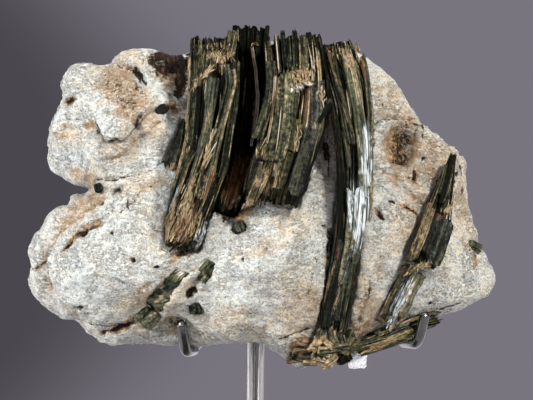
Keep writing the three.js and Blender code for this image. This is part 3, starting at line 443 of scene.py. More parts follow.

# Steps, where the rock on the left of the route, taken as it goes, stands proud: height and fading in mm.
# Below each step a dark line and a tan foot are painted as shade.
STEPS = [
    (4.2, 14, [
        (-79, 90), (-83.4, 86.9), (-91.6, 81.9), (-101.6, 73.6), (-110.6, 67.8), (-115.6, 63.7),
        (-118.9, 57.1), (-121.4, 48.8), (-120.1, 40.6), (-118, 32.4), (-113.2, 27.4), (-107.3, 24.9),
        (-101.6, 16.6), (-93.3, 11.7),
    ]),
    (3.4, 10, [
        (-92.9, 128.2), (-89.9, 124.6), (-86.1, 119.5), (-80.8, 121.1), (-76.3, 122.5), (-70.3, 128.9),
        (-66, 134.5),
    ]),
    (2.2, 7, [(-35, 45), (-37.9, 43.1), (-44.5, 34.8), (-50.4, 24.9), (-56.1, 20.5), (-61, 10)]),
    (3.2, 8, [(101, 128), (99, 129.5), (92.2, 133.3), (83.4, 134.1), (74.9, 134.1), (70, 128)]),
    (1.8, 6, [(112, 128), (118, 120), (123, 110)]),
    (1.6, 7, [(-121, 120), (-112, 131), (-103, 129), (-95, 128)]),
    (1.4, 6, [(-88, 110), (-76, 114), (-66, 124), (-56, 131)]),
    (1.4, 6, [(-58, 92), (-68, 88), (-79, 90)]),
    (1.4, 6, [(66, 30), (63, 16), (56, 8)]),
    (1.2, 8, [(64, 106), (74, 104), (84, 98), (93, 90), (100, 84)]),
    (1.0, 8, [(47, 128), (41, 120), (39, 108), (37, 98)]),
]

# Folds: how far each stands out, or in when below 0, and its reach on the left and right of the route as it
# goes, in mm.
FOLDS = [
    (3.4, 8, 13, [(-107, 163), (-94, 155.5), (-82, 149), (-73.5, 143), (-72.5, 133), (-79, 123)]),
    (-2.6, 4, 5, [(-86, 166), (-76, 163), (-68, 158), (-63, 151), (-60, 143)]),
    (1.8, 5, 6, [(-80, 172), (-66, 169), (-55, 162)]),
    (1.6, 5, 6, [(-118, 127), (-108, 122), (-97, 117), (-88, 110)]),
    (-2.0, 4, 5, [(-99, 99), (-88, 96.5), (-78, 99.5), (-66, 104), (-58, 112)]),
    (1.5, 5, 8, [(-80, 118), (-70, 126), (-60, 134), (-54, 140)]),
    (1.4, 6, 10, [(-66, 88), (-84, 80), (-100, 66), (-112, 52)]),
    (2.0, 1.6, 1.8, [(-66, 6.5), (-60, 11), (-55, 15.8), (-49, 26), (-42, 35), (-37, 41), (-32, 48)]),
    (1.5, 1.5, 1.5, [(-49, 26), (-41, 27), (-34, 30), (-27, 38)]),
    (1.0, 3, 8, [(-22, 72), (-6, 62), (12, 58), (30, 50), (40, 40)]),
    (0.8, 7, 3, [(-16, 52), (2, 40), (20, 36), (34, 26)]),
    (-1.4, 6, 6, [(-30, 24), (-8, 18), (14, 12), (30, 4)]),
    (2.2, 3, 5, [(98, 130), (98, 118), (96, 106), (90, 99)]),
    (1.2, 1.0, 1.4, [(83.4, 131), (85, 118), (84, 106)]),
    (1.0, 0.8, 1.2, [(87.4, 131), (89, 118), (87.6, 104)]),
    (0.9, 0.8, 1.2, [(92, 130), (93, 117), (91, 104)]),
    (1.6, 3, 3, [(74, 132), (76, 118), (80, 106), (86, 99)]),
    (-1.6, 4, 3, [(112, 92), (104, 78), (96, 62), (88, 48), (80, 32)]),
    (1.4, 5, 5, [(104, 128), (116, 118), (124, 104)]),
    (1.1, 3, 5, [(64, 70), (68, 54), (66, 38), (62, 22)]),
    (1.1, 3, 4, [(74, 66), (80, 50), (78, 36)]),
    (1.4, 6, 8, [(100, 46), (116, 42), (132, 40)]),
    (-1.2, 4, 3, [(36, 110), (38, 92), (40, 76)]),
    (1.2, 4, 4, [(-70, 70), (-58, 62), (-48, 52), (-40, 50)]),
    (0.9, 2, 5, [(-110, 38), (-96, 44), (-80, 42), (-66, 34)]),
]

# Pits and hollows: x, height, long radius, short radius (mm), angle from level, depth in mm.
PITS = [
    (-108.5, 144.7, 4.4, 3.2, 20, 1.6), (-92.5, 128.5, 1.8, 3.2, 0, 1.6), (-99.5, 65.4, 4.2, 1.9, 30, 1.9),
    (-109.4, 58, 3.4, 1.2, 40, 1.2), (-36.7, 32, 5, 3, 46, 1.8), (-61.5, 24.5, 4.4, 2.8, 40, 1.6),
    (-83, 65.8, 1.1, 1.3, 0, 1.0), (-71, 50.3, 2, 1.8, 0, 1.4), (-98.2, 19.9, 2.2, 1.6, 0, 1.5),
    (-50, 11, 10, 7, 30, 4.0), (-6.6, 51, 1.0, 0.9, 0, 0.6), (40.7, 70, 1.8, 0.8, 0, 0.8),
    (-16.9, 28.4, 0.9, 0.9, 0, 0.6), (-57.8, 46.4, 1.6, 0.9, 0, 0.6), (73.3, 77.5, 5.6, 2.3, -54, 2.0),
    (86, 118, 19, 12, 80, 3.4), (90, 118, 14, 5, 84, 2.6), (88.5, 61.2, 1, 0.9, 0, 0.7),
    (73.9, 52.4, 1.2, 0.7, 0, 0.7), (104.8, 25, 1.2, 0.7, 30, 0.7), (100.4, 109.8, 1.5, 1.0, 60, 1.0),
    (93.5, 100, 1.1, 2.6, 0, 1.1), (103.8, 101.5, 1.4, 0.9, 0, 0.9), (91.5, 8, 4.4, 4, 0, 3.2),
    (55, -8, 5, 4.6, 0, 3.0), (-53.7, 87, 1.1, 1.0, 0, 0.7), (-122.2, 62.1, 1.3, 0.8, 0, 0.7),
    (-116, 104.6, 0.9, 0.9, 0, 0.6), (60, 118, 3, 14, 0, 1.0),
]

# Colour on the rock: x, height, long radius, short radius (mm), angle from level, strength. Some of the tan
# and dark patches are painted shade, as said below.
STAINS = {
    "warm": [
        (-84, 152, 28, 11, -25, 0.4), (-108, 124, 12, 9, 0, 0.6), (-75, 116, 18, 9, 35, 0.6),
        (-60, 128, 10, 15, 0, 0.9), (-70, 170, 16, 5, -14, 0.7), (-96, 98, 14, 9, 0, 0.7),
        (-104, 78, 18, 11, 30, 0.8), (-72, 26, 16, 8, 30, 0.9), (-56, 66, 12, 20, 10, 0.6),
        (-46, 28, 22, 5, 50, 0.8), (-40, 62, 13, 8, 20, 0.9), (-70, 12, 18, 6, 20, 0.8),
        (28, 24, 22, 24, 0, 0.8), (112, 66, 20, 30, 0, 0.5), (24, 72, 16, 14, 0, 0.7),
        (6, 58, 22, 5, 15, 0.6), (-4, 8, 40, 7, 0, 0.6), (84, 148, 20, 14, -45, 0.8),
        (108, 110, 18, 18, 0, 0.9), (108, 104, 32, 18, -58, 0.8), (92, 64, 20, 20, 0, 0.8),
        (124, 76, 10, 24, 20, 0.9), (66, 30, 12, 28, 10, 0.8), (0, 6, 30, 5, 0, 0.5),
        (-64, 96, 14, 8, 10, 0.8), (-44, 78, 4, 20, -14, 0.9),
    ],
    "cool": [
        (73, 140, 5, 4, 0, 0.6), (78, 92, 9, 7, 0, 0.9), (-106, 112, 13, 7, 0, 0.9),
        (-80, 104, 14, 5, 10, 0.8), (-60, 66, 26, 9, -42, 0.7), (-98, 46, 16, 9, -40, 0.6),
        (-76, 18, 14, 7, -30, 0.8), (22, 44, 16, 26, 0, 0.6), (68, 100, 7, 13, 0, 1.0),
        (-64, 148, 5, 6, 0, 0.5), (104, 38, 20, 5, 16, 0.7), (-30, 92, 10, 12, 0, 0.6),
        (72, 64, 5, 10, 0, 0.5),
    ],
    # Tan: weathered patches, and painted shade on the right flank of the upper-left lump, along the crescent
    # beside the step at the lower left and in the hollow by the left hook.
    "tan": [
        (-77, 149, 27, 12, -52, 1.35), (-70, 140, 13, 9, 0, 0.7), (-77, 132, 6, 10, 0, 0.5),
        (-105.6, 102, 6, 3.4, -30, 0.9), (-98.6, 95, 3.4, 7, 0, 1.0), (-102, 79, 21, 6.4, 42, 1.2),
        (-106, 78, 14, 7, 46, 0.6), (-115, 66, 10, 5, 50, 0.8), (-120, 62, 5, 12, -20, 0.25),
        (-50, 11, 10, 7, 30, 1.0), (-66, 28, 8, 5, 40, 0.6), (30, 21, 15, 19, 0, 0.42),
        (9, 56, 18, 1.8, 15, 0.5), (-18, 17, 20, 8, 8, 0.55), (42, 108, 4.4, 24, 0, 0.7),
        (84, 138, 14, 5, -20, 0.6), (86, 118, 19, 10, 82, 1.3), (108, 112, 16, 12, -45, 0.6),
        (88, 114, 22, 16, 80, 1.1), (108, 106, 26, 13, -58, 0.62), (98, 88, 12, 9, 0, 0.75),
        (92, 66, 13, 15, 0, 0.45), (124, 84, 7, 16, 20, 0.6), (68, 18, 9, 16, 20, 0.7),
        (72, 52, 4, 16, 10, 0.4), (77, 0, 15, 7, 20, 0.6), (40, -8, 26, 7, 0, 0.7),
        (-88, 170, 14, 5, -10, 0.4), (-62, 92, 9, 7, 0, 0.5), (-54, 96, 8, 6, 0, 0.5),
    ],
    "rust": [
        (-108.5, 144.7, 5, 3.6, 20, 0.9), (-96.5, 130, 4.6, 3.0, 0, 0.7), (-110, 124, 8, 2.4, 12, 0.5),
        (-76, 116, 16, 1.6, 42, 0.55), (-70, 120, 16, 1.4, 42, 0.5), (-48.5, 141, 5, 4.2, 30, 1.0),
        (-48, 160, 10, 13, -20, 0.8), (-73, 164, 6, 1.6, -24, 0.7), (-95, 68, 11, 2.2, 30, 1.0),
        (-107, 60, 9, 1.9, 40, 0.9), (-121, 41, 2.2, 10, 0, 0.9), (-128, 47, 6, 1.6, 40, 0.8),
        (-71, 50.3, 3.2, 2.6, 0, 0.7), (-66, 33, 8, 2.4, 45, 0.5), (-82, 8.4, 13, 3, 18, 1.0),
        (-60.6, 21.6, 4.6, 3, 48, 0.9), (-74, 14, 6, 1.6, 10, 0.8), (-36, 34, 6, 2.6, 50, 0.9),
        (-66, 26, 7, 3, 40, 0.4), (-45, 53, 10, 4, 20, 0.8), (-56, 36, 9, 2, 48, 0.7),
        (110, 96, 10, 3, -60, 0.4), (30, 24, 12, 5, 60, 0.35), (-8, 77, 9, 4.4, 20, 0.8),
        (-4, 86, 12, 6, 0, 0.8), (40, 132, 5, 8, 0, 0.7), (43.5, 44, 2.6, 14, 6, 0.7),
        (90, 135, 10, 1.4, -14, 0.5), (85, 117, 15, 8, 84, 0.6), (104, 118, 12, 4, -50, 0.35),
        (86, 116, 17, 10, 80, 0.5), (94, 99, 3, 5, 0, 0.9), (73.3, 77.5, 5.4, 2.1, -54, 1.0),
        (92, 80, 8, 1.8, -26, 0.9), (73.9, 52.4, 1.6, 1.1, 0, 0.9), (130.4, 50, 1.6, 7, 0, 0.8),
        (31, 1, 13, 4.4, 8, 0.9), (44, -7, 8, 4, 0, 0.8), (62, 10, 9, 7, 50, 0.7),
    ],
    # Dark patches: dark stains in pits and cracks, and painted shade. The painted shade covers the shadow
    # that the left sheaf casts on the rock to its left, the shadow below the recess, the dark strip along the
    # left side of the right sheaf, the upper-left lump's right flank and the hollow by the left hook.
    "dirt": [
        (-69, 152, 9, 3, -56, 0.5), (-80, 148, 22, 10, -52, 0.42), (-109, 145, 3.6, 2, 20, 0.9),
        (-51, 168, 14, 10, -20, 1.25), (-44, 156, 5, 15, 0, 1.0), (-38, 176, 9, 5, 0, 1.0),
        (-69, 160, 7, 2.4, -50, 0.8), (-99.5, 65.4, 3.2, 1.2, 30, 1.1), (-109.4, 58, 3.2, 1.0, 40, 1.1),
        (-83, 65.8, 1.3, 1.5, 0, 1.1), (-71, 50.3, 2, 1.8, 0, 1.0), (-103.6, 24.5, 4.0, 1.6, -10, 0.9),
        (-98.2, 19.9, 1.8, 1.2, 0, 0.7), (-80, 9.4, 10, 1.6, 18, 1.1), (-47, 13, 9, 5, 24, 0.5),
        (-61.5, 24.5, 4.4, 2.6, 40, 1.0), (-36.7, 32, 5, 2.6, 46, 0.9), (-52.6, 29, 17, 2.4, 48, 0.7),
        (-60.2, 22, 3.2, 2.2, 48, 1.0), (-31, 40, 8, 2.6, 48, 0.7), (-43, 53.6, 7, 2.6, 15, 0.9),
        (-16, 8, 30, 6, 4, 0.34), (-12, 84, 12, 9, 40, 0.9), (-6.6, 51, 1.6, 1.3, 0, 1.1),
        (40.7, 70, 2.2, 1.0, 0, 1.0), (42, 116, 3, 8, 0, 0.7), (44.5, 62, 2.4, 10, 0, 0.8),
        (88.4, 118, 15.5, 6.4, 84, 0.68), (74.6, 75.6, 3.6, 1.4, -54, 1.0), (92, 80, 4, 0.9, -26, 0.9),
        (88.5, 61.2, 1.2, 1.1, 0, 0.9), (104.8, 25, 1.6, 1.1, 30, 1.0), (131, 58, 6, 4, 0, 0.6),
        (91.5, 8, 5, 4.4, 0, 1.1), (55, -8, 6, 5, 0, 1.2), (50.6, 66, 2.4, 30, 0, 0.8),
        (100.4, 109.8, 2, 1.4, 60, 1.0), (93.5, 100, 1.6, 3.4, 0, 1.0), (118, 97, 2, 13, -24, 0.7),
        (-58, 46.5, 2.4, 1.2, 0, 1.0), (-17, 28.4, 1, 1, 0, 1.0), (-92.2, 128.2, 1, 3.6, 0, 1.0),
    ],
}


# ---- The stand's paths --------------------------------------------------------------------------

# Corners in mm above the floor: x, y, z and the bend radius, where 0 only puts a step on a straight line.
ARM_PATHS = {
    "left_arm_rod": [
        (-2.7, 36, 4.45), (-2.7, 36, 100, 6), (-29.5, 37, 99.6, 6), (-33.4, 24, 94.6, 0),
        (-36.6, 6, 91.4, 0), (-41, -12.8, 91, 6), (-43.3, -30.7, 109.4),
    ],
    "right_arm_rod": [
        (2.3, 36, 4.45), (4, 36, 98.6, 6), (74, 34, 98.6), (89.6, 3, 96.2, 0), (96.8, -23, 96.4, 7),
        (101.2, -29.6, 114.8),
    ],
    "back_rest_rod": [
        (-0.2, 40.4, 4.45), (-0.2, 40.4, 118, 0), (-0.2, 45, 158),
    ],
}
SLEEVE_OF = {"left_hook_sleeve": "left_arm_rod", "right_hook_sleeve": "right_arm_rod"}


# ---- Settings -----------------------------------------------------------------------------------


def colour(name, description, default):
    return bpy.props.FloatVectorProperty(
        name=name, description=description, default=default, subtype="COLOR", size=3, min=0, max=1
    )


def length(name, description, default):
    return bpy.props.FloatProperty(
        name=name, description=description, default=default, unit="LENGTH", min=0.0001, precision=4
    )


def power(name, description, default):
    return bpy.props.FloatProperty(name=name, description=description, default=default, unit="POWER", min=0)


class RockSettings(bpy.types.PropertyGroup):
    """Sizes and colours of the schist."""

    voxel: length("Mesh fineness", "Edge of a voxel when the rock is remeshed", 0.00108)
    triangles: bpy.props.IntProperty(
        name="Triangles", description="Most triangles that the carved rock keeps", default=196000, min=1000
    )
    broad_relief: length("Broad relief", "Height of the lumps about 14 mm apart", 0.0014)
    middle_relief: length("Middle relief", "Height of the lumps about 5 mm apart", 0.00065)
    fine_relief: length("Fine relief", "Height of the lumps about 2 mm apart", 0.00035)
    facet_relief: length("Facets", "Height of the ridges about 22 mm apart", 0.0022)
    grain_relief: length("Foliation", "Height of the layers' edges", 0.0008)
    pale: colour("Pale grains", "Colour of the quartz", (0.645, 0.64, 0.57))
    cool: colour("Cool grains", "Colour of the silvery mica", (0.55, 0.585, 0.56))
    grey: colour("Grey grains", "Colour of the darker grains", (0.15, 0.145, 0.12))
    cream: colour("Cream", "Colour of the warm patches", (0.62, 0.495, 0.32))
    # The tan colour is also used for painted shade on shaded flanks and at the feet of steps.
    tan: colour("Tan", "Colour of the weathered patches", (0.28, 0.185, 0.098))
    rust: colour("Rust", "Colour of the iron stains", (0.42, 0.225, 0.07))
    umber: colour("Umber", "Colour in the middle of the iron stains", (0.12, 0.066, 0.03))
    # The dark stain colour is also used for painted shadows and shaded hollows, and for the painted shade
    # lines below steps.
    dirt: colour("Dark stain", "Colour in cracks and hollows", (0.016, 0.01, 0.006))


class CrystalSettings(bpy.types.PropertyGroup):
    """Sizes and colours of the actinolite."""

    rib: length("Rib spacing", "Distance between the fine lines along a crystal", 0.0012)
    strand: length("Strand width", "Half width of the strands in a leading blade", 0.0015)
    # The deep green is also the colour of the painted shade in grooves and gaps.
    black: colour("Deep green", "Colour in the grooves", (0.004, 0.0046, 0.003))
    green: colour("Green", "Colour of the fresh faces", (0.024, 0.031, 0.0105))
    olive: colour("Olive", "Colour of the worn faces", (0.1, 0.091, 0.034))
    gold: colour("Gold", "Colour of the broken fibres", (0.38, 0.275, 0.155))
    brown: colour("Brown", "Colour of the worn faces that are stained", (0.13, 0.084, 0.036))
    rust: colour("Rust", "Colour of the stained streaks", (0.15, 0.065, 0.028))
    # The pale colour is also the colour of the painted glints.
    pale: colour("Pale", "Colour of the bleached faces", (0.6, 0.66, 0.67))


class StandSettings(bpy.types.PropertyGroup):
    """Colours of the stand."""

    steel: colour("Steel", "Colour of the rods", (0.56, 0.55, 0.54))
    sleeve: colour("Sleeve", "Colour of the hook sleeves", (0.014, 0.014, 0.014))
    base: colour("Base", "Colour of the base plate", (0.012, 0.012, 0.013))


class StageSettings(bpy.types.PropertyGroup):
    """Light and floor."""

    floor: colour("Floor", "Colour of the floor", (0.62, 0.61, 0.62))
    air: colour("Backdrop", "Colour around the stage", (0.19, 0.178, 0.212))
    key_power: power("Key light", "Power of the main light", 58)
    side_power: power("Side light", "Power of the light from the left", 70)
    back_power: power("Back light", "Power of the light behind", 34)


# ---- Arrays and meshes --------------------------------------------------------------------------


def ease(values, low, high):
    """From 0 at the low value to 1 at the high one, with soft ends."""
    share = np.clip((values - low) / (high - low), 0, 1)
    return share * share * (3 - 2 * share)


def lattice_noise(points, size, seed=0):
    """Smooth noise from -1 to 1 at each point, with lumps about so large."""
    place = np.asarray(points, float) / size + 57.31 + 3.7 * seed
    cell = np.floor(place).astype(np.int64)
    part = place - cell
    part = part * part * (3 - 2 * part)
    total = np.zeros(len(place))
    for corner in range(8):
        step = np.array([corner & 1, corner >> 1 & 1, corner >> 2 & 1])
        code = ((cell + step) * CELL_CODES).sum(1) + seed * SEED_CODE
        code = (code ^ (code >> 13)) * 1274126177 & 0x7FFFFFFF
        code = (code ^ (code >> 16)) & 0xFFFF
        weight = np.where(step, part, 1 - part).prod(1)
        total += weight * (code / 32767.5 - 1)
    return total


def deselect_all():
    if bpy.context.mode != "OBJECT":
        bpy.ops.object.mode_set(mode="OBJECT")
    bpy.ops.object.select_all(action="DESELECT")


def activate(piece):
    deselect_all()
    piece.select_set(True)
    bpy.context.view_layer.objects.active = piece


def new_object(name, data):
    piece = bpy.data.objects.new(name, data)
    bpy.context.scene.collection.objects.link(piece)
    return piece


def node_copy(node, name):
    """An object with a copy of a packed solid's mesh, without its finish."""
    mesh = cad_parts[node].data.copy()
    mesh.name = name
    mesh.materials.clear()
    return new_object(name, mesh)


def rows_of(elements, key):
    flat = np.empty(len(elements) * 3, np.float32)
    elements.foreach_get(key, flat)
    return flat.reshape(-1, 3).astype(float)


def points_of(mesh):
    return rows_of(mesh.vertices, "co")


def normals_of(mesh):
    return rows_of(mesh.vertex_normals, "vector")


def move_points(mesh, points):
    mesh.vertices.foreach_set("co", np.asarray(points, np.float32).ravel())
    mesh.update()


def write_values(mesh, name, values):
    """Writes a value at each vertex, or the same one at all of them."""
    layer = mesh.attributes.get(name) or mesh.attributes.new(name, "FLOAT", "POINT")
    layer.data.foreach_set("value", np.broadcast_to(values, len(mesh.vertices)).astype(np.float32))


def write_grain(mesh, grain):
    """Writes where each vertex lies across and along the lines of its piece, in metres."""
    layer = mesh.uv_layers.get("grain") or mesh.uv_layers.new(name="grain")
    corners = np.empty(len(mesh.loops), np.int32)
    mesh.loops.foreach_get("vertex_index", corners)
    layer.data.foreach_set("uv", grain[corners].astype(np.float32).ravel())


def apply_modifier(piece, kind, **settings):
    activate(piece)
    bpy.ops.object.modifier_add(type=kind)
    modifier = piece.modifiers[-1]
    for key, value in settings.items():
        setattr(modifier, key, value)
    bpy.ops.object.modifier_apply(modifier=modifier.name)


def remesh(piece, voxel):
    apply_modifier(piece, "REMESH", mode="VOXEL", voxel_size=voxel, adaptivity=0.0)


def clean(piece, merge=None, face_out=False):
    """Merges points closer than a distance and turns the faces out, where asked."""
    activate(piece)
    bpy.ops.object.mode_set(mode="EDIT")
    bpy.ops.mesh.select_all(action="SELECT")
    if merge:
        bpy.ops.mesh.remove_doubles(threshold=merge)
    if face_out:
        bpy.ops.mesh.normals_make_consistent(inside=False)
    bpy.ops.object.mode_set(mode="OBJECT")


def crease(piece, degrees):
    activate(piece)
    bpy.ops.object.shade_smooth_by_angle(angle=math.radians(degrees))


def on_body(piece, material, slot, *nodes):
    """Gives a piece its one material, hides the packed nodes that it stands for and puts it on its body. The
    slot is not used.
    """
    piece.data.materials.clear()
    piece.data.materials.append(material)
    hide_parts(*nodes)
    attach(piece, BODY)


def route_distance(x, z, route):
    """Distance of each point from a route on the face in mm, above 0 on its left as it goes."""
    best = np.full(len(x), 1e9)
    sign = np.ones(len(x))
    for (ax, az), (bx, bz) in zip(route, route[1:]):
        dx, dz = bx - ax, bz - az
        share = np.clip(((x - ax) * dx + (z - az) * dz) / (dx * dx + dz * dz), 0, 1)
        gap = np.hypot(x - ax - share * dx, z - az - share * dz)
        side = np.where(dx * (z - az) - dz * (x - ax) > 0, 1.0, -1.0)
        sign = np.where(gap < best, side, sign)
        best = np.minimum(best, gap)
    return best * sign


def steps_along(points):
    """How far along a line of points each one lies."""
    return np.r_[0, np.cumsum(np.linalg.norm(np.diff(points, axis=0), axis=1))]


def turned(x, z, turn):
    """How far points lie along and across a line through 0 that is turned by an angle in radians."""
    return x * np.cos(turn) + z * np.sin(turn), z * np.cos(turn) - x * np.sin(turn)


def inside_oval(x, z, shape, wander, core=PATCH_CORE, rim=PATCH_RIM):
    """1 in the middle of a tilted oval and 0 outside it, fading between two shares of its radius."""
    at_x, at_z, long, short, angle = shape
    u, v = turned(x - at_x, z - at_z, math.radians(angle))
    return 1 - ease(np.hypot(u / long, v / short) + wander, core, rim)


def uneven(place):
    """Noise that is added to an oval, at points in mm, so that its edge wanders."""
    return EDGE_WANDER * (lattice_noise(place, 5, 3) + 0.6 * lattice_noise(place, 2.2, 4))


def colour_sheaf(mesh):
    """Writes one value for each kind of patch at each vertex."""
    place = points_of(mesh) / MM
    x, z = place[:, 0], place[:, 2] - POST_TOP
    edge = uneven(place)
    for kind, patches in SHEAF_PATCHES.items():
        value = np.zeros(len(x))
        for *shape, strength in patches:
            value = np.maximum(value, inside_oval(x, z, shape, edge) * strength)
        write_values(mesh, kind, value)


# ---- Materials ----------------------------------------------------------------------------------


def opaque(shade):
    return (*tuple(shade)[:3], 1.0)


def add_node(tree, kind, sockets=None, **settings):
    """Adds a node, sets it, and sets or links its sockets."""
    node = tree.nodes.new(kind)
    for key, value in settings.items():
        setattr(node, key, value)
    set_sockets(node, sockets or {})
    return node


def set_sockets(node, sockets):
    for key, value in sockets.items():
        if isinstance(value, Signal):
            value.tree.links.new(value.socket, node.inputs[key])
        else:
            node.inputs[key].default_value = value


class Signal:
    """What comes out of a shader node. Sums, products and textures of it are nodes too."""

    def __init__(self, tree, socket):
        self.tree = tree
        self.socket = socket

    def put(self, kind, output, sockets, **settings):
        return Signal(self.tree, add_node(self.tree, kind, sockets, **settings).outputs[output])

    def maths(self, operation, *others, clamp=False):
        sockets = dict(enumerate((self, *others)))
        return self.put("ShaderNodeMath", 0, sockets, operation=operation, use_clamp=clamp)

    def __add__(self, other):
        return self.maths("ADD", other)

    def __sub__(self, other):
        return self.maths("SUBTRACT", other)

    def __rsub__(self, other):
        return self.put("ShaderNodeMath", 0, {0: other, 1: self}, operation="SUBTRACT")

    def __mul__(self, other):
        return self.maths("MULTIPLY", other)

    def __abs__(self):
        return self.maths("ABSOLUTE")

    def vector(self, operation, other):
        return self.put("ShaderNodeVectorMath", 0, {0: self, 1: other}, operation=operation)

    def mapped(self, turn, scale):
        return self.put("ShaderNodeMapping", 0, {"Vector": self, "Rotation": turn, "Scale": scale})

    def ease(self, low, high, to_low=0.0, to_high=1.0):
        """Goes from one value to another, with soft ends, while the signal goes from low to high."""
        sockets = {"Value": self, "From Min": low, "From Max": high, "To Min": to_low, "To Max": to_high}
        return self.put("ShaderNodeMapRange", "Result", sockets, interpolation_type="SMOOTHSTEP")

    def noise(self, scale, detail=3.0, roughness=0.55, distortion=0.0):
        """Noise at the place that the signal gives."""
        sockets = {"Vector": self, "Scale": scale, "Detail": detail}
        sockets |= {"Roughness": roughness, "Distortion": distortion}
        return self.put("ShaderNodeTexNoise", "Fac", sockets)

    def mix(self, first, second):
        """The first colour where the signal is 0 and the second where it is 1."""
        first, second = (c if isinstance(c, Signal) else opaque(c) for c in (first, second))
        return self.put("ShaderNodeMix", 2, {0: self, 6: first, 7: second}, data_type="RGBA")

    def ramp(self, places, shades):
        """Goes through the colours as the signal goes through the places."""
        node = add_node(self.tree, "ShaderNodeValToRGB", {"Fac": self})
        elements = node.color_ramp.elements
        while len(elements) < len(places):
            elements.new(0.5)
        for element, place, shade in zip(elements, places, shades):
            element.position = place
            element.color = opaque(shade)
        return Signal(self.tree, node.outputs["Color"])

    def ragged(self, place, scale, amount):
        """The signal as a mask whose soft edge is broken up by noise."""
        sockets = {"Vector": place, "Mask": self, "Scale": scale, "Amount": amount}
        return self.put("ShaderNodeGroup", "Mask", sockets, node_tree=ragged_group())

    def bump(self, distance, strength=1.0):
        sockets = {"Height": self, "Distance": distance, "Strength": strength}
        return self.put("ShaderNodeBump", "Normal", sockets)


def source(tree, kind, output, **settings):
    """The signal of a node that takes nothing in."""
    return Signal(tree, add_node(tree, kind, **settings).outputs[output])


def object_place(tree):
    return source(tree, "ShaderNodeTexCoord", "Object")


def grain_place(tree):
    return source(tree, "ShaderNodeUVMap", "UV", uv_map="grain")


def attribute(tree, name):
    return source(tree, "ShaderNodeAttribute", "Fac", attribute_name=name, attribute_type="GEOMETRY")


def value_group(name, defaults, outputs):
    """A new node group for a vector and some values: its inputs, by name, and its output node."""
    group = bpy.data.node_groups.new(name, "ShaderNodeTree")
    group.interface.new_socket(name="Vector", in_out="INPUT", socket_type="NodeSocketVector")
    for socket, default in defaults.items():
        made = group.interface.new_socket(name=socket, in_out="INPUT", socket_type="NodeSocketFloat")
        made.default_value = default
    for socket in outputs:
        group.interface.new_socket(name=socket, in_out="OUTPUT", socket_type="NodeSocketFloat")
    entry = group.nodes.new("NodeGroupInput")
    given = {socket: Signal(group, entry.outputs[socket]) for socket in ("Vector", *defaults)}
    return given, group.nodes.new("NodeGroupOutput")


def ragged_group():
    """Breaks up the edge of a soft mask with noise."""
    found = bpy.data.node_groups.get("Ragged Edge")
    if found:
        return found
    given, leave = value_group("Ragged Edge", {"Mask": 0.0, "Scale": 600.0, "Amount": 0.6}, ["Mask"])
    coarse = given["Vector"].noise(given["Scale"], 5, 0.62)
    shown = given["Mask"] + (coarse - 0.5) * given["Amount"] * 2.4
    set_sockets(leave, {"Mask": shown.ease(0.3, 0.72) * given["Mask"].ease(0.01, 0.12)})
    return leave.id_data


def lines_group():
    """Lines that run along a piece: fine, broad and a height."""
    found = bpy.data.node_groups.get("Long Lines")
    if found:
        return found
    given, leave = value_group("Long Lines", {"Across": 900.0, "Along": 30.0}, ["Fine", "Broad", "Height"])
    sides = {"X": given["Across"], "Y": given["Along"], "Z": given["Across"]}
    stretched = given["Vector"].vector("MULTIPLY", given["Across"].put("ShaderNodeCombineXYZ", 0, sides))
    fine = stretched.noise(1.0, 4, 0.6, 0.1)
    broad = stretched.noise(0.27, 3, 0.55, 0.2)
    height = fine * 0.55 + broad * 0.9
    set_sockets(leave, {"Fine": fine.ease(0.28, 0.72), "Broad": broad.ease(0.3, 0.7), "Height": height})
    return leave.id_data


def long_lines(place, across, along):
    """Fine lines, broad lines and their height, from lines per metre across and along."""
    sockets = {"Vector": place, "Across": across, "Along": along}
    node = add_node(place.tree, "ShaderNodeGroup", sockets, node_tree=lines_group())
    return [Signal(place.tree, node.outputs[name]) for name in ("Fine", "Broad", "Height")]


def new_material(name):
    """A material and its node tree, which is empty."""
    material = bpy.data.materials.new(name)
    material.use_nodes = True
    material.node_tree.nodes.clear()
    return material, material.node_tree


def finished(material, sockets):
    """Ends a material in a shader with these sockets."""
    tree = material.node_tree
    shader = add_node(tree, "ShaderNodeBsdfPrincipled", sockets)
    add_node(tree, "ShaderNodeOutputMaterial", {"Surface": Signal(tree, shader.outputs["BSDF"])})
    return material


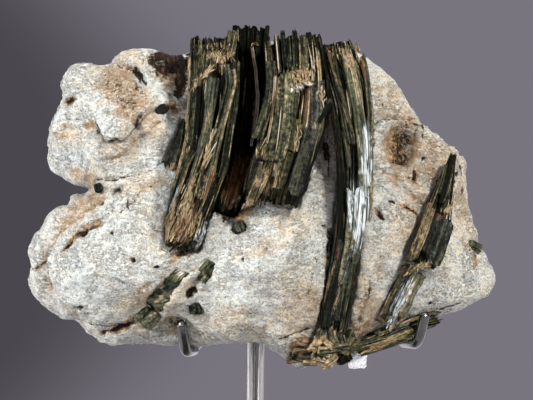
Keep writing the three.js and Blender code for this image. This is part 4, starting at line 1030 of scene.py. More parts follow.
def schist_material(settings):
    material, tree = new_material("Schist")
    place = object_place(tree)
    swirl = place.put("ShaderNodeTexNoise", "Color", {"Vector": place, "Scale": 24.0, "Detail": 3.0})
    warped = place.vector("ADD", swirl.vector("MULTIPLY", (0.02, 0.02, 0.02)))
    layered = warped.mapped((0.25, -0.45, 0.1), (260.0, 260.0, 620.0))
    layers = layered.noise(1.0, 5, 0.65)
    grains = place.noise(900.0, 4, 0.7)
    lumps = place.noise(330.0, 5, 0.6)
    clouds = place.noise(42.0, 4, 0.6, 0.8)
    tinge = warped.noise(230.0, 5, 0.7)

    # Pale and grey grains, with cool and warm regions.
    warmth = attribute(tree, "warm").maths("ADD", clouds.ease(0.46, 0.76, -0.05, 0.4), clamp=True)
    pale = tinge.ease(0.42, 0.58).mix(settings.cool, settings.pale)
    pale = (attribute(tree, "cool") * 0.85).mix(pale, settings.cool)
    pale = (warmth * tinge.ease(0.36, 0.62, 0.25, 1.0)).mix(pale, settings.cream)
    blend = grains * 0.62 + lumps * 0.16 + layers * 0.4
    shade = blend.ease(0.41, 0.68).mix(settings.grey, pale)

    # Rusty flecks where the rock is warm, and fine dark lines along the layers.
    fleck = warped.noise(310.0, 5, 0.75, 0.6).ease(0.55, 0.7) * (warmth * 0.55 + 0.04)
    shade = fleck.mix(shade, settings.rust)
    line = abs(layers - 0.5).ease(0.034, 0.004) * warped.noise(80.0, 2).ease(0.4, 0.6)
    shade = (line * 0.62).mix(shade, tinge.mix(settings.dirt, settings.tan))

    # Weathered, rusty and dirty patches, with the painted shade that the tan and dark patches also carry.
    blotches = warped.noise(150.0, 5, 0.7).ease(0.3, 0.66, 0.25, 1.25)
    tinted = (attribute(tree, "tan") * 1.15).maths("MULTIPLY", blotches, clamp=True)
    midway = [(a + b) / 2 for a, b in zip(settings.cream, settings.cool)]
    shade = tinted.mix(shade, (grains + (layers - 0.5) * 0.8).ease(0.42, 0.78).mix(settings.tan, midway))
    rusted = attribute(tree, "rust").ragged(warped, 420, 0.9) * grains.ease(0.36, 0.56, 0.55, 1.0)
    shade = rusted.mix(shade, lumps.ease(0.4, 0.64).mix(settings.umber, settings.rust))
    dirt_and_shade_mask = attribute(tree, "dirt").ragged(warped, 520, 0.7)
    streaks = place.mapped((0.0, 0.2, 0.0), (620.0, 400.0, 110.0)).noise(1.0, 4, 0.6)
    stain_and_shade = streaks.ease(0.5, 0.74).mix(settings.dirt, settings.umber)
    shade = dirt_and_shade_mask.mix(shade, streaks.ease(0.66, 0.8).mix(stain_and_shade, settings.tan))

    # Dark specks, and dark lines along the cracks and along the painted shade below steps.
    cells = layered.put("ShaderNodeTexVoronoi", "Distance", {"Vector": layered, "Scale": 0.62})
    speck = cells.ease(0.18, 0.09) * place.noise(120.0, 2).ease(0.5, 0.6)
    shade = (speck * 0.8).mix(shade, settings.dirt)
    crack_and_shade_lines = (attribute(tree, "crack") + (lumps - 0.5) * 2.2).ease(0.75, 0.2)
    height = lumps * 0.8 + grains * 0.8 + layers * 0.6 - (crack_and_shade_lines + line * 0.35) * 0.9
    return finished(material, {
        "Base Color": crack_and_shade_lines.mix(shade, settings.dirt),
        "Roughness": (grains + layers * 0.3).ease(0.45, 0.85, 0.85, 0.42),
        "Normal": height.bump(0.0012),
        "Specular IOR Level": dirt_and_shade_mask.ease(0.0, 1.0, 0.42, 0.08),
    })


def actinolite_material(settings):
    material, tree = new_material("Actinolite")
    along = grain_place(tree)
    fine, broad, height = long_lines(along, 1.0 / settings.rib, 34.0)
    gloss = attribute(tree, "gloss")
    streaked = along.vector("MULTIPLY", (1.0, 0.22, 1.0))
    grit = streaked.noise(1500.0, 4, 0.7)

    # How light each point is: lines along the crystal, mottling, grit and fine cuts across.
    mottling = attribute(tree, "mottle") * 1.2 + 0.7
    level = attribute(tree, "tone") + (fine - 0.5) * 0.34 + (broad - 0.5) * 0.3
    level = level + (object_place(tree).noise(420.0, 4, 0.6) - 0.5) * mottling + (grit - 0.5) * 0.9
    cut = along.vector("MULTIPLY", (90.0, 640.0, 1.0)).noise(1.0, 2, 0.5).ease(0.6, 0.7)
    level = level - cut * 0.14

    # The colours that it goes through, in green and in stained brown, and the patches.
    places = (0.0, 0.18, 0.4, 0.62, 0.84, 1.0)
    bright = [0.65 * a + 0.35 * b for a, b in zip(settings.gold, settings.pale)]
    dim_brown = [0.24 * c for c in settings.brown]
    shade, stained = (
        level.ramp(places, (settings.black, settings.black, dim, worn, settings.gold, bright))
        for dim, worn in ((settings.green, settings.olive), (dim_brown, settings.brown))
    )
    shade = attribute(tree, "brown").mix(shade, stained)
    # The pale patches also paint glints, and the dark patches paint shade in grooves and gaps.
    for kind, tint, scale, amount in (
        ("gold", settings.gold, 1100, 1.0), ("rust", settings.rust, 900, 1.0),
        ("pale", settings.pale, 900, 0.8), ("dark", settings.black, 500, 0.5),
    ):
        lines = fine.ease(0.62, 0.36, 0, 0.95) if kind == "pale" else grit.ease(0.55, 0.4, 0, 0.85)
        mask = attribute(tree, kind).ragged(streaked, scale, amount) * 0.9
        shade = mask.mix(shade, lines.mix(tint, shade))
    return finished(material, {
        "Base Color": shade,
        "Roughness": (0.66 - gloss * 0.38).maths("ADD", (grit - 0.5) * 0.6, clamp=True),
        "Normal": (height + grit * 0.7).bump(0.0008, 0.9),
        "IOR": 1.6,
        "Specular IOR Level": (gloss * 0.32 + 0.05) * level.ease(0.05, 0.5, 0.15, 1.0),
    })


def crystal_material(settings):
    """The one material of all the crystals, made when it is first asked for."""
    return bpy.data.materials.get("Actinolite") or actinolite_material(settings)


def talc_material():
    material, tree = new_material("White Talc")
    grains = object_place(tree).noise(700.0, 4, 0.6)
    return finished(material, {
        "Base Color": grains.ease(0.35, 0.65).mix((0.84, 0.84, 0.84), (0.95, 0.95, 0.95)),
        "Roughness": grains.ease(0.3, 0.7, 0.7, 0.45),
        "Normal": grains.bump(0.0006),
        # Painted light: the emission makes the chip glow, so that it stays bright white where it stands in
        # shade.
        "Emission Color": (0.95, 0.96, 1.0, 1),
        "Emission Strength": 0.3,
        "Subsurface Weight": 0.2,
        "Subsurface Radius": (0.001, 0.001, 0.001),
    })


def steel_material(settings):
    material, tree = new_material("Stand Steel")
    fine, broad, height = long_lines(grain_place(tree), 5200.0, 60.0)
    return finished(material, {
        "Base Color": (broad * 0.25).mix(settings.steel, (0.3, 0.29, 0.28)),
        "Roughness": fine.ease(0.0, 1.0, 0.16, 0.32),
        "Normal": height.bump(0.00004, 0.5),
        "Metallic": 1.0,
    })


def sleeve_material(settings):
    material, tree = new_material("Hook Sleeve")
    place = object_place(tree)
    scuff = place.noise(900.0, 3, 0.6)
    return finished(material, {
        "Base Color": place.noise(160.0, 4, 0.6).ease(0.35, 0.7).mix(settings.sleeve, (0.04, 0.039, 0.038)),
        "Roughness": scuff.ease(0.4, 0.75, 0.12, 0.3),
        "Normal": scuff.bump(0.00003, 0.4),
        "Coat Weight": 0.6,
        "Coat Roughness": 0.06,
    })


def base_material(settings):
    material, tree = new_material("Base Plate")
    place = object_place(tree)
    dust = place.noise(34.0, 5, 0.65)
    return finished(material, {
        "Base Color": dust.ease(0.5, 0.8, 0, 0.35).mix(settings.base, (0.06, 0.058, 0.056)),
        "Roughness": dust.ease(0.35, 0.75, 0.3, 0.5),
        "Normal": place.noise(1500.0, 3, 0.6).bump(0.00008, 0.6),
    })


# ---- The rock -----------------------------------------------------------------------------------

# The back of the rock, where chance places things: how many, then in mm the ranges of x and height in which
# pits and stains lie and cracks start, and the length of each step of a crack.
BACK_SEED = 3
BACK_CRACKS, BACK_PITS, BACK_STAINS = 14, 26, 16
BACK_REGION = (-120, 130), (5, 165)
CRACK_REGION = (-115, 120), (10, 160)
CRACK_STEP = 7

# How much a point has to face front or back to be carved, and to be part of a crack line, which takes in the
# painted shade lines below steps.
SIDEWAYS, FACING, IN_CRACK = 0.05, 0.4, 0.3

# The layers of the rock: their tilt in degrees, and how far they curl in mm.
LAYER_TILT = 24
LAYER_CURL = 9

# In mm: how far routes wobble, how much wider a crack is at its lips, how far rust reaches from it, half the
# width of the slope at a step, and how far the tan below a step, which is painted shade, reaches.
WOBBLE = 1.1
CRACK_LIPS = 0.6
RUST_REACH = 1.7
SLOPE = 0.7
TAN_REACH = 6

# Passes of smoothing.
ROCK_SMOOTHING, BLOCK_SMOOTHING = 14, 3


def lump_texture(name, size):
    texture = bpy.data.textures.new(name, "CLOUDS")
    texture.noise_scale = size
    texture.noise_depth = 2
    return texture


def back_features():
    """Cracks, steps, folds, pits and stains for the back of the rock, which nothing else describes."""
    chance = random.Random(BACK_SEED)
    cracks, pits = [], []
    stains = {kind: [] for kind in STAINS}
    for _ in range(BACK_CRACKS):
        x, z = (chance.uniform(*reach) for reach in CRACK_REGION)
        turn = chance.uniform(-0.7, 0.5)
        route = [(x, z)]
        for _ in range(chance.randint(3, 6)):
            turn += chance.uniform(-0.5, 0.5)
            x, z = x + CRACK_STEP * math.cos(turn), z + CRACK_STEP * math.sin(turn)
            route.append((x, z))
        cracks.append((chance.uniform(0.5, 1.4), chance.uniform(0.6, 1.0), chance.uniform(0, 0.9), route))
    for _ in range(BACK_PITS):
        x, z = (chance.uniform(*reach) for reach in BACK_REGION)
        size = chance.uniform(0.9, 4.5)
        pits.append((x, z, size, size * chance.uniform(0.4, 0.9), chance.uniform(-60, 60), size * 0.4))
        stains[chance.choice(("dirt", "rust"))].append((x, z, size, size * 0.7, 0, 0.8))
    for _ in range(BACK_STAINS):
        x, z = (chance.uniform(*reach) for reach in BACK_REGION)
        kind = chance.choice(("tan", "warm", "cool", "rust"))
        long, short, angle = chance.uniform(8, 24), chance.uniform(4, 12), chance.uniform(-40, 40)
        stains[kind].append((x, z, long, short, angle, chance.uniform(0.3, 0.7)))
    return cracks, (), (), pits, stains


def rough_relief(points, settings):
    """How far each point moves out for the facets and for the edges of the layers, which curl as they run."""
    place = points / MM
    curl = np.stack([lattice_noise(place, 30, seed) for seed in (31, 32, 33)], 1)
    bent = place + LAYER_CURL * curl
    facets = 0.5 - np.abs(lattice_noise(bent, 22, 34)) - 0.4 * np.abs(lattice_noise(bent, 10, 35))
    level, rise = turned(bent[:, 0], bent[:, 2], -math.radians(LAYER_TILT))
    sheets = np.stack([level / 5, bent[:, 1] / 5, rise], 1)
    edges = np.abs(lattice_noise(sheets, 2.6, 36)) + 0.5 * np.abs(lattice_noise(sheets, 1.5, 37)) - 0.4
    where = ease(lattice_noise(place, 24, 38), -0.5, 0.3)
    return settings.facet_relief * facets + settings.grain_relief * edges * where


def bell(gap, width):
    """1 where the gap is 0, falling on both sides."""
    return np.exp(-((gap / width) ** 2))


def fading(distance, reach):
    """1 up to a distance of 0, falling beyond it."""
    return np.exp(-np.maximum(distance, 0) / reach)


def carve_rock(mesh, settings):
    """Cuts folds, cracks, steps and pits into both faces, and writes where cracks and the painted shade lines
    below steps run, and what is stained or painted with shade.
    """
    points, normals = points_of(mesh), normals_of(mesh)
    place = points / MM
    wobble = np.stack([lattice_noise(place, 4, seed) for seed in (11, 12)])
    x, z = place[:, 0] + WOBBLE * wobble[0], place[:, 2] - POST_TOP + WOBBLE * wobble[1]
    edge = uneven(place)
    crack = np.full(len(x), FAR_FROM_CRACK)
    height = rough_relief(points, settings) / MM
    stains = {kind: np.zeros(len(x)) for kind in STAINS}
    front = (CRACKS, FOLDS, STEPS, PITS, STAINS)
    for way, (cracks, folds, steps, pits, colours) in ((-1, front), (1, back_features())):
        facing = ease(way * normals[:, 1], SIDEWAYS, FACING)
        for depth, width, rust, route in cracks:
            gap = np.abs(route_distance(x, z, route))
            height -= depth * bell(gap, width + CRACK_LIPS) * facing
            crack = np.minimum(crack, np.where(facing > IN_CRACK, gap / width, FAR_FROM_CRACK))
            stains["rust"] = np.maximum(stains["rust"], rust * 0.7 * bell(gap, RUST_REACH) * facing)
        for proud, left, right, route in folds:
            gap = route_distance(x, z, route)
            reach = np.where(gap > 0, left, right)
            height += proud * np.exp(-(np.sqrt(gap * gap + 0.5) - 0.7) / reach) * facing
        for proud, fade, route in steps:
            # A broken dark line of painted shade just below the step, rust on it, a tan foot of painted
            # shade, and the step itself.
            gap = route_distance(x, z, route)
            under = np.abs(gap + 0.8) / 0.55 + 0.5 + 1.2 * np.abs(wobble[0])
            crack = np.minimum(crack, np.where(facing > IN_CRACK, under, FAR_FROM_CRACK))
            rusty = 0.5 * bell(gap + 0.6, 1.6) * facing * ease(wobble[1], -0.3, 0.4)
            stains["rust"] = np.maximum(stains["rust"], rusty)
            foot = (0.22 * proud - 0.1) * ease(-gap, 0, 0.8) * fading(-gap, TAN_REACH) * facing
            stains["tan"] = np.maximum(stains["tan"], foot)
            height += proud * ease(gap, -SLOPE, SLOPE) * fading(gap, fade) * facing
            height -= 0.5 * proud * ease(-gap, -SLOPE, SLOPE) * fading(-gap, 0.4 * fade) * facing
        for *shape, depth in pits:
            height -= depth * inside_oval(x, z, shape, 0.5 * edge, PIT_CORE, PIT_RIM) * facing
        for kind, patches in colours.items():
            for *shape, strength in patches:
                patch = inside_oval(x, z, shape, edge) * strength * facing
                stains[kind] = np.maximum(stains[kind], patch)
    move_points(mesh, points + normals * (height * MM)[:, None])
    write_values(mesh, "crack", crack)
    for kind, value in stains.items():
        write_values(mesh, kind, value)


class SPECIMEN_OT_rock(bpy.types.Operator):
    """Shapes the schist from a copy of its packed solid"""

    bl_idname = "specimen.rock"
    bl_label = "Schist Rock"

    def execute(self, context):
        settings = context.scene.specimen_rock
        rock = node_copy("schist_matrix", "schist_rock")
        clean(rock, MERGE_DISTANCE)
        remesh(rock, settings.voxel)
        apply_modifier(rock, "SMOOTH", factor=0.5, iterations=ROCK_SMOOTHING)
        for name, size, relief in (
            ("Broad lumps", 0.014, settings.broad_relief),
            ("Middle lumps", 0.005, settings.middle_relief),
            ("Fine lumps", 0.0022, settings.fine_relief),
        ):
            lumps = {"texture": lump_texture(name, size), "strength": 2 * relief}
            apply_modifier(rock, "DISPLACE", texture_coords="LOCAL", mid_level=0.5, **lumps)
        carve_rock(rock.data, settings)
        triangles = sum(len(face.vertices) - 2 for face in rock.data.polygons)
        apply_modifier(rock, "DECIMATE", ratio=min(1, settings.triangles / triangles))
        activate(rock)
        bpy.ops.object.shade_smooth()
        on_body(rock, schist_material(settings), "schist", "schist_matrix")
        return {"FINISHED"}


# ---- The crystals -------------------------------------------------------------------------------

# The section of a blade, right round from its right side: across and out of the rock, as shares of its half
# sizes.
SECTION = np.array([
    (1.0, 0.05), (0.97, 0.6), (0.74, 0.97), (0.44, 0.78), (0.14, 1.0), (-0.18, 0.8), (-0.5, 1.0),
    (-0.78, 0.84), (-1.0, 0.5), (-1.0, -0.3), (-0.8, -1.0), (-0.25, -1.0), (0.3, -1.0), (0.85, -1.0),
])

# How many times the bars that the crystals are copied from are cut, the sides of a splinter, how far the ends
# are inset and how far their middles stand out, and the most that the points of an end are apart in height.
LARGE_CUTS, SIDE_CUTS, SPLINTER_CUTS = 19, 11, 5
SPLINTER_SIDES = 6
END_INSET, END_STEP = 0.28, 0.012
LEVEL = 0.0001

# How uneven each blade is: its grooves and sides as shares of the section, the rest in mm, radians or shares.
GROOVE, SIDE_STEP = 0.55, 0.07
SLANT, TORN, TORN_REACH, STEPPED = 0.9, 1.7, 5.0, 40
SWELL, WANDER, TWIST = 0.14, 0.5, 0.12

# In mm: the half width from which a leading blade isn't split into strands, the least and the most that half
# a blade's depth can be, how far outer blades are sunk or proud, and how far leading blades are torn back.
WIDE_BLADE = 4
THINNEST, THICKEST = 0.9, 2.6
OUTER_PROUD = (-2.0, 0.7)
TORN_LENGTH = 8

# How far blades are turned about their routes in degrees, and how much darker each deeper layer is painted,
# as shade.
LAYER_TURN, LEADING_TURN = 18, 10
LAYER_SHADE = 0.03

# Splinters and broken fibres: half widths, lengths and half depth in mm, tones and gloss.
SPLINTER_WIDTHS, SPLINTER_LENGTHS = (0.22, 0.46), (5, 34)
SPLINTER_TONES = (0.78, 0.66, 0.56, 0.46, 0.1, 0.02)
FIBRE_WIDTHS = (0.2, 0.6)
FINE_DEPTH = 0.5
SPLINTER_GLOSS, FIBRE_GLOSS = 0.4, 0.3

# Points along the route of a sheaf, of a block at the foot and of a fibre, and the seed of the foot's blocks.
SHEAF_SAMPLES, BLOCK_SAMPLES, FIBRE_SAMPLES = 90, 16, 12
FOOT_SEED = 59

# Planes that cut the corners off the white chip: the way each faces, and how far out it lies, as a share of
# half the diagonal. Then how far its box grows left, forward and down in metres, and the share that it fills.
CHIP_CUTS = (
    ((0.97, -0.2, -0.26), 0.33), ((-0.8, -0.5, -1), 0.5), ((0.3, -1, -0.7), 0.6), ((-0.52, -0.1, 0.85), 0.1),
)
CHIP_SHIFT = (0.0026, 0.012, 0.0012)
CHIP_FIT = 0.98

LARGE_SHEAVES = [node for node in FILLS if node.endswith("_sheaf")]
SIDE_CRYSTALS = [node for node in FILLS if not node.endswith("_sheaf")]


def select_in_edit(mesh, kind, test):
    """Selects, in edit mode, only the edges or faces that pass a test."""
    shape = bmesh.from_edit_mesh(mesh)
    for elements in (shape.verts, shape.edges, shape.faces):
        for element in elements:
            element.select = False
    for element in getattr(shape, kind):
        if test(element):
            element.select_set(True)
    bmesh.update_edit_mesh(mesh)


def is_long(edge):
    return abs(edge.verts[0].co.z - edge.verts[1].co.z) > 0.5


def is_end(face, height):
    return len(face.verts) > 4 and all(abs(vert.co.z - height) < LEVEL for vert in face.verts)


def blade_blank(name, cuts, sides=len(SECTION)):
    """A round bar one unit long and two across, with stepped ends, from which each crystal is copied."""
    deselect_all()
    bpy.ops.mesh.primitive_cylinder_add(
        vertices=sides, radius=1, depth=1, end_fill_type="NGON", location=(0, 0, 0.5)
    )
    bar = bpy.context.object
    bpy.ops.object.transform_apply(location=True, rotation=True, scale=True)
    bpy.ops.object.mode_set(mode="EDIT")
    bpy.ops.mesh.select_mode(type="EDGE")
    select_in_edit(bar.data, "edges", is_long)
    bpy.ops.mesh.subdivide(number_cuts=cuts)
    bpy.ops.mesh.select_mode(type="FACE")
    for end, step in ((1, END_STEP), (0, -END_STEP)):
        select_in_edit(bar.data, "faces", lambda face: is_end(face, end))
        bpy.ops.mesh.inset(thickness=END_INSET)
        bpy.ops.transform.translate(value=(0, 0, step))
    bpy.ops.object.mode_set(mode="OBJECT")
    mesh = bar.data
    mesh.name = name
    bpy.data.objects.remove(bar)
    return mesh


class Route:
    """A smooth line through points, with the direction across it on the face and the way out of the rock."""

    def __init__(self, points, samples=SHEAF_SAMPLES):
        points = np.asarray(points, float)
        steps = steps_along(points[:, :3])
        self.length = steps[-1]
        even = np.linspace(0, steps[-1], samples)
        rows = np.stack([np.interp(even, steps, points[:, i]) for i in range(points.shape[1])], 1)
        kernel = np.array([1, 2, 3, 2, 1]) / 9
        for _ in range(3):
            padded = np.vstack([2 * rows[0] - rows[2:0:-1], rows, 2 * rows[-1] - rows[-2:-4:-1]])
            rows = np.stack([np.convolve(padded[:, i], kernel, "valid") for i in range(rows.shape[1])], 1)
        self.rows = rows
        tangent = np.gradient(rows[:, :3], axis=0)
        tangent /= np.linalg.norm(tangent, axis=1)[:, None]
        flat = tangent * np.array([1, 0, 1])
        flat /= np.linalg.norm(flat, axis=1)[:, None]
        self.across = np.cross(OUTWARD, flat)
        out = OUTWARD - tangent * (tangent @ OUTWARD)[:, None]
        self.out = out / np.linalg.norm(out, axis=1)[:, None]

    def front_at(self, height):
        """Where the route is along Y, in mm, at a height."""
        order = np.argsort(self.rows[:, 2])
        return float(np.interp(height, self.rows[order, 2], self.rows[order, 1]))


def sample(table, share):
    """The rows of a table at shares of its length from 0 to 1."""
    share = np.clip(share, 0, 1) * (len(table) - 1)
    low = np.minimum(share.astype(int), len(table) - 2)
    part = (share - low)[:, None]
    return table[low] * (1 - part) + table[low + 1] * part


def lay_blade(
    blank, route, chance, half_width, half_depth, start, end, tone, gloss,
    tilt=0.0, taper=(0.92, 0.88), proud=0.0, aside=0.0, deep=0.0, mottle=MOTTLE,
):
    """Copies the blank onto a route, from one share of its length to another.

    Sizes are in mm. Aside and deep are shares of the sheaf's own half width and thickness.
    """
    mesh = blank.copy()
    unit = points_of(mesh)
    s = np.clip(unit[:, 2], 0, 1)
    over = unit[:, 2] - s
    seed = chance.randint(0, 99999)

    # Its section, with grooves of its own.
    section = SECTION.copy()
    front = section[:, 1] > 0.4
    section[front, 1] -= [GROOVE * chance.random() ** 1.6 for _ in range(front.sum())]
    section[:, 0] += [SIDE_STEP * chance.uniform(-1, 1) for _ in section]
    angle = np.arctan2(unit[:, 1], unit[:, 0])
    column = np.round(angle / (2 * math.pi / len(section))).astype(int) % len(section)
    inner = np.hypot(unit[:, 0], unit[:, 1]) / 0.95
    inner = np.where(inner > 0.8, 1.0, inner)
    a, b = section[column, 0] * inner, section[column, 1] * inner

    # How far along the route each point lies, with a slanted and torn end on either side.
    size = route.length * (end - start)
    rough = lattice_noise(np.stack([a * 1.7, b * 1.7, np.full(len(a), 0.37)], 1), 0.55, seed)
    slants = chance.uniform(-SLANT, SLANT), chance.uniform(-SLANT, SLANT)
    torn = [slant * a * half_width + TORN * rough for slant in slants]
    reach = min(0.3, TORN_REACH / size)
    shift = (1 - ease(s, 0, reach)) * torn[0] - ease(s, 1 - reach, 1) * torn[1]
    share = np.clip(start + (end - start) * s + (shift + over * STEPPED) / route.length, 0, 1)

    # Its width and depth, and where that brings each point.
    along = np.stack([s * size / 9, np.zeros(len(s)), np.zeros(len(s))], 1)
    row = sample(route.rows, share)
    half, thick = row[:, 3], row[:, 4]
    swell = 1 + SWELL * lattice_noise(along, 1, seed + 1)
    slim = (taper[0] + (1 - taper[0]) * ease(s, 0, 0.12)) * (taper[1] + (1 - taper[1]) * ease(s, 1, 0.84))
    width, depth = half_width * swell * slim * half / route.rows[:, 3].mean(), half_depth * slim
    turn = tilt + TWIST * lattice_noise(along * 0.5, 1, seed + 3)
    u, v = turned(a * width, b * depth, -turn)
    middle = aside * half + WANDER * lattice_noise(along * 0.6, 1, seed + 2)
    inward = deep * thick + half_depth - proud
    points = row[:, :3] + sample(route.across, share) * (u + middle)[:, None]
    points += sample(route.out, share) * (v - inward)[:, None]
    points[:, 2] += POST_TOP
    move_points(mesh, points * MM)

    # What the material reads. The tone is painted darker on the sides of the blade and in its grooves, as
    # shade in the gaps between blades, and lighter on its front ridges and edges, as highlight.
    offset = np.array([chance.uniform(0, 9), chance.uniform(0, 9)])
    write_grain(mesh, np.stack([a * half_width + 2.4 * b * half_depth, s * size], 1) * MM + offset)
    painted_depth_shade = np.clip(section[column, 1] - 0.75, -0.6, 0.25)
    rim = (np.abs(section[column, 0]) > 0.9) & (section[column, 1] > 0)
    write_values(mesh, "tone", tone + 0.44 * painted_depth_shade + 0.15 * rim + 0.1 * lattice_noise(along, 1, seed + 4))
    brown = chance.random() ** 1.7 * (1.05 - 0.8 * min(gloss, 1))
    for name, value in (("gloss", gloss), ("mottle", mottle), ("brown", brown)):
        write_values(mesh, name, value)
    return mesh


def join_blades(name, meshes):
    pieces = [new_object(f"{name}_{i:03d}", mesh) for i, mesh in enumerate(meshes)]
    deselect_all()
    for piece in pieces:
        piece.select_set(True)
    made = pieces[0]
    bpy.context.view_layer.objects.active = made
    bpy.ops.object.join()
    made.name = name
    made.data.name = name
    clean(made, face_out=True)
    crease(made, BLADE_CREASE)
    colour_sheaf(made.data)
    return made


def lay_splinter(fine, route, chance, proud):
    """A fine splinter somewhere on a route, lighter or darker than what it lies on."""
    size = chance.uniform(*SPLINTER_LENGTHS) / route.length
    start = chance.uniform(0, max(0.02, 0.95 - size))
    end = min(start + size, 1)
    tone = chance.choice(SPLINTER_TONES)
    half_width = chance.uniform(*SPLINTER_WIDTHS)
    tone += chance.uniform(-0.08, 0.08)
    return lay_blade(
        fine, route, chance, half_width, FINE_DEPTH, start, end, tone, SPLINTER_GLOSS,
        taper=(0.3, 0.3), aside=chance.uniform(-0.98, 0.98), proud=proud,
    )


def leading_bundle(blank, fine, sheaf, chance, strand, half_width, proud, tone, gloss, path):
    """A leading blade as narrow strands side by side, each with its own broken ends, and splinters on it."""
    route = Route([(x, sheaf.front_at(z) - proud, z, half_width, 1) for x, z in path])
    wide = half_width > WIDE_BLADE
    strands = 1 if wide else max(1, round(half_width / strand / (1 + max(0, gloss - 0.5))))
    meshes = []
    for place in range(strands):
        torn = [chance.random() ** 2 * TORN_LENGTH / route.length for _ in range(2)]
        width, depth = half_width / strands * chance.uniform(1.0, 1.25), chance.uniform(1.0, 1.6)
        own_tone = tone * LEADING_TONE + chance.uniform(-0.07, 0.07)
        own_gloss = gloss * chance.uniform(0.7, 1.2)
        meshes.append(lay_blade(
            blank, route, chance, width, depth, torn[0], 1 - torn[1], own_tone, own_gloss,
            tilt=math.radians(chance.uniform(-LEADING_TURN, LEADING_TURN)),
            aside=((place + 0.5) / strands * 2 - 1) * 0.86, proud=chance.uniform(-0.5, 0.4),
            mottle=0.5 if wide and gloss < 0.8 else MOTTLE,
        ))
    return meshes + [lay_splinter(fine, route, chance, chance.uniform(0.1, 0.5)) for _ in range(strands)]


def broken_fibres(fine, node, sheaf, chance):
    """The short fibres of the bursts on one sheaf."""
    meshes = []
    for x, z, across, down, angle, count, lean, fan, size, tone, proud in BURSTS.get(node, ()):
        for _ in range(count):
            place = chance.gauss(0, 0.5) * across, chance.gauss(0, 0.5) * down
            at_x, at_z = (x, z) + np.array(turned(*place, -math.radians(angle)))
            way = math.radians(lean + chance.gauss(0, 0.6) * fan)
            reach = size * chance.uniform(0.3, 0.7)
            front = sheaf.front_at(at_z) - proud * chance.uniform(0.3, 1)
            bow = chance.uniform(-0.8, 0.8)
            step_x, step_z = -math.sin(way) * reach, -math.cos(way) * reach
            points = [(at_x + k * step_x, front + abs(k) * bow, at_z + k * step_z, 1, 1) for k in (-1, 0, 1)]
            half_width, own_tone = chance.uniform(*FIBRE_WIDTHS), tone + chance.uniform(-0.2, 0.12)
            route = Route(points, FIBRE_SAMPLES)
            meshes.append(lay_blade(
                fine, route, chance, half_width, FINE_DEPTH, 0, 1, own_tone, FIBRE_GLOSS,
                tilt=chance.uniform(-0.6, 0.6), taper=(0.5, 0.3),
            ))
    return meshes


def fill_sheaf(node, blank, fine, strand):
    """All blades of a sheaf: layers of them across its section, the leading ones, splinters and fibres."""
    across, layers, tone, tone_spread, gloss, ragged_ends, seed = FILLS[node]
    chance = random.Random(seed)
    route = Route(SHEAVES[node])
    half, thick = float(np.mean(route.rows[:, 3])), float(np.mean(route.rows[:, 4]))
    meshes = []
    for layer in range(layers):
        count = across - (1 if layer % 2 and across > 2 else 0)
        for place in range(count):
            start = chance.random() * ragged_ends[0] / route.length * (0.5 + 0.5 * (layer % 2))
            end = 1 - chance.random() * ragged_ends[1] / route.length
            half_width = half / count * chance.uniform(0.95, 1.4)
            half_depth = min(max(THINNEST, 0.55 * thick / layers) * chance.uniform(0.8, 1.1), THICKEST)
            aside, tilt = (place + 0.5) / count * 2 - 1, 0.0
            if count > 1:
                aside = (aside + chance.uniform(-0.5, 0.5) * 0.5 / count) * (1 - half_width * 0.8 / half)
            own_tone = tone + tone_spread * chance.uniform(-1, 1) - LAYER_SHADE * layer
            own_gloss = gloss * chance.uniform(0.6, 1.3)
            if count > 1:
                tilt = math.radians(chance.uniform(-LAYER_TURN, LAYER_TURN))
            proud = chance.uniform(*OUTER_PROUD) if layer == 0 else 0.0
            meshes.append(lay_blade(
                blank, route, chance, half_width, half_depth, start, end, own_tone, own_gloss,
                tilt=tilt, aside=aside, deep=layer / layers, proud=proud,
            ))
    for blade in LEADING_BLADES.get(node, ()):
        meshes += leading_bundle(blank, fine, route, chance, strand, *blade)
    for _ in range(SPLINTERS.get(node, 0)):
        meshes.append(lay_splinter(fine, route, chance, chance.uniform(0.2, 0.9)))
    return meshes + broken_fibres(fine, node, route, chance)


def foot_jumble(blank):
    """Short crystals lying all ways at the foot, with bits of stained rock between them."""
    chance = random.Random(FOOT_SEED)
    route_x, route_y = zip(*(row[:2] for row in SHEAVES["foot_crystal_cluster"]))
    meshes = []
    for x, z, direction, half_length, half_width, proud, tone, gloss in FOOT_BLOCKS:
        front = float(np.interp(x, route_x, route_y)) - proud
        turn = math.radians(direction)
        step = half_length * math.cos(turn), chance.uniform(-1, 1), half_length * math.sin(turn)
        points = [(x + k * step[0], front + k * step[1], z + k * step[2], half_width, 1) for k in (-1, 0, 1)]
        meshes.append(lay_blade(
            blank, Route(points, BLOCK_SAMPLES), chance, half_width, min(half_width, THICKEST), 0, 1, tone,
            gloss, tilt=chance.uniform(-0.4, 0.4), taper=(0.86, 0.8),
        ))
    return meshes


def build_sheaves(nodes, cuts, settings):
    material = crystal_material(settings)
    blank = blade_blank("blade_blank", cuts)
    fine = blade_blank("splinter_blank", SPLINTER_CUTS, SPLINTER_SIDES)
    for node in nodes:
        meshes = fill_sheaf(node, blank, fine, settings.strand / MM)
        if node == "foot_crystal_cluster":
            meshes += foot_jumble(blank)
        on_body(join_blades(node + "_blades", meshes), material, "actinolite", node)


class SPECIMEN_OT_large_sheaves(bpy.types.Operator):
    """Fills the four large sheaves with fluted blades"""

    bl_idname = "specimen.large_sheaves"
    bl_label = "Large Crystal Sheaves"

    def execute(self, context):
        build_sheaves(LARGE_SHEAVES, LARGE_CUTS, context.scene.specimen_crystal)
        return {"FINISHED"}


class SPECIMEN_OT_side_crystals(bpy.types.Operator):
    """Makes the needle, the slanted crystals, the bands at the foot and the side blade"""

    bl_idname = "specimen.side_crystals"
    bl_label = "Side Crystals"

    def execute(self, context):
        build_sheaves(SIDE_CRYSTALS, SIDE_CUTS, context.scene.specimen_crystal)
        return {"FINISHED"}


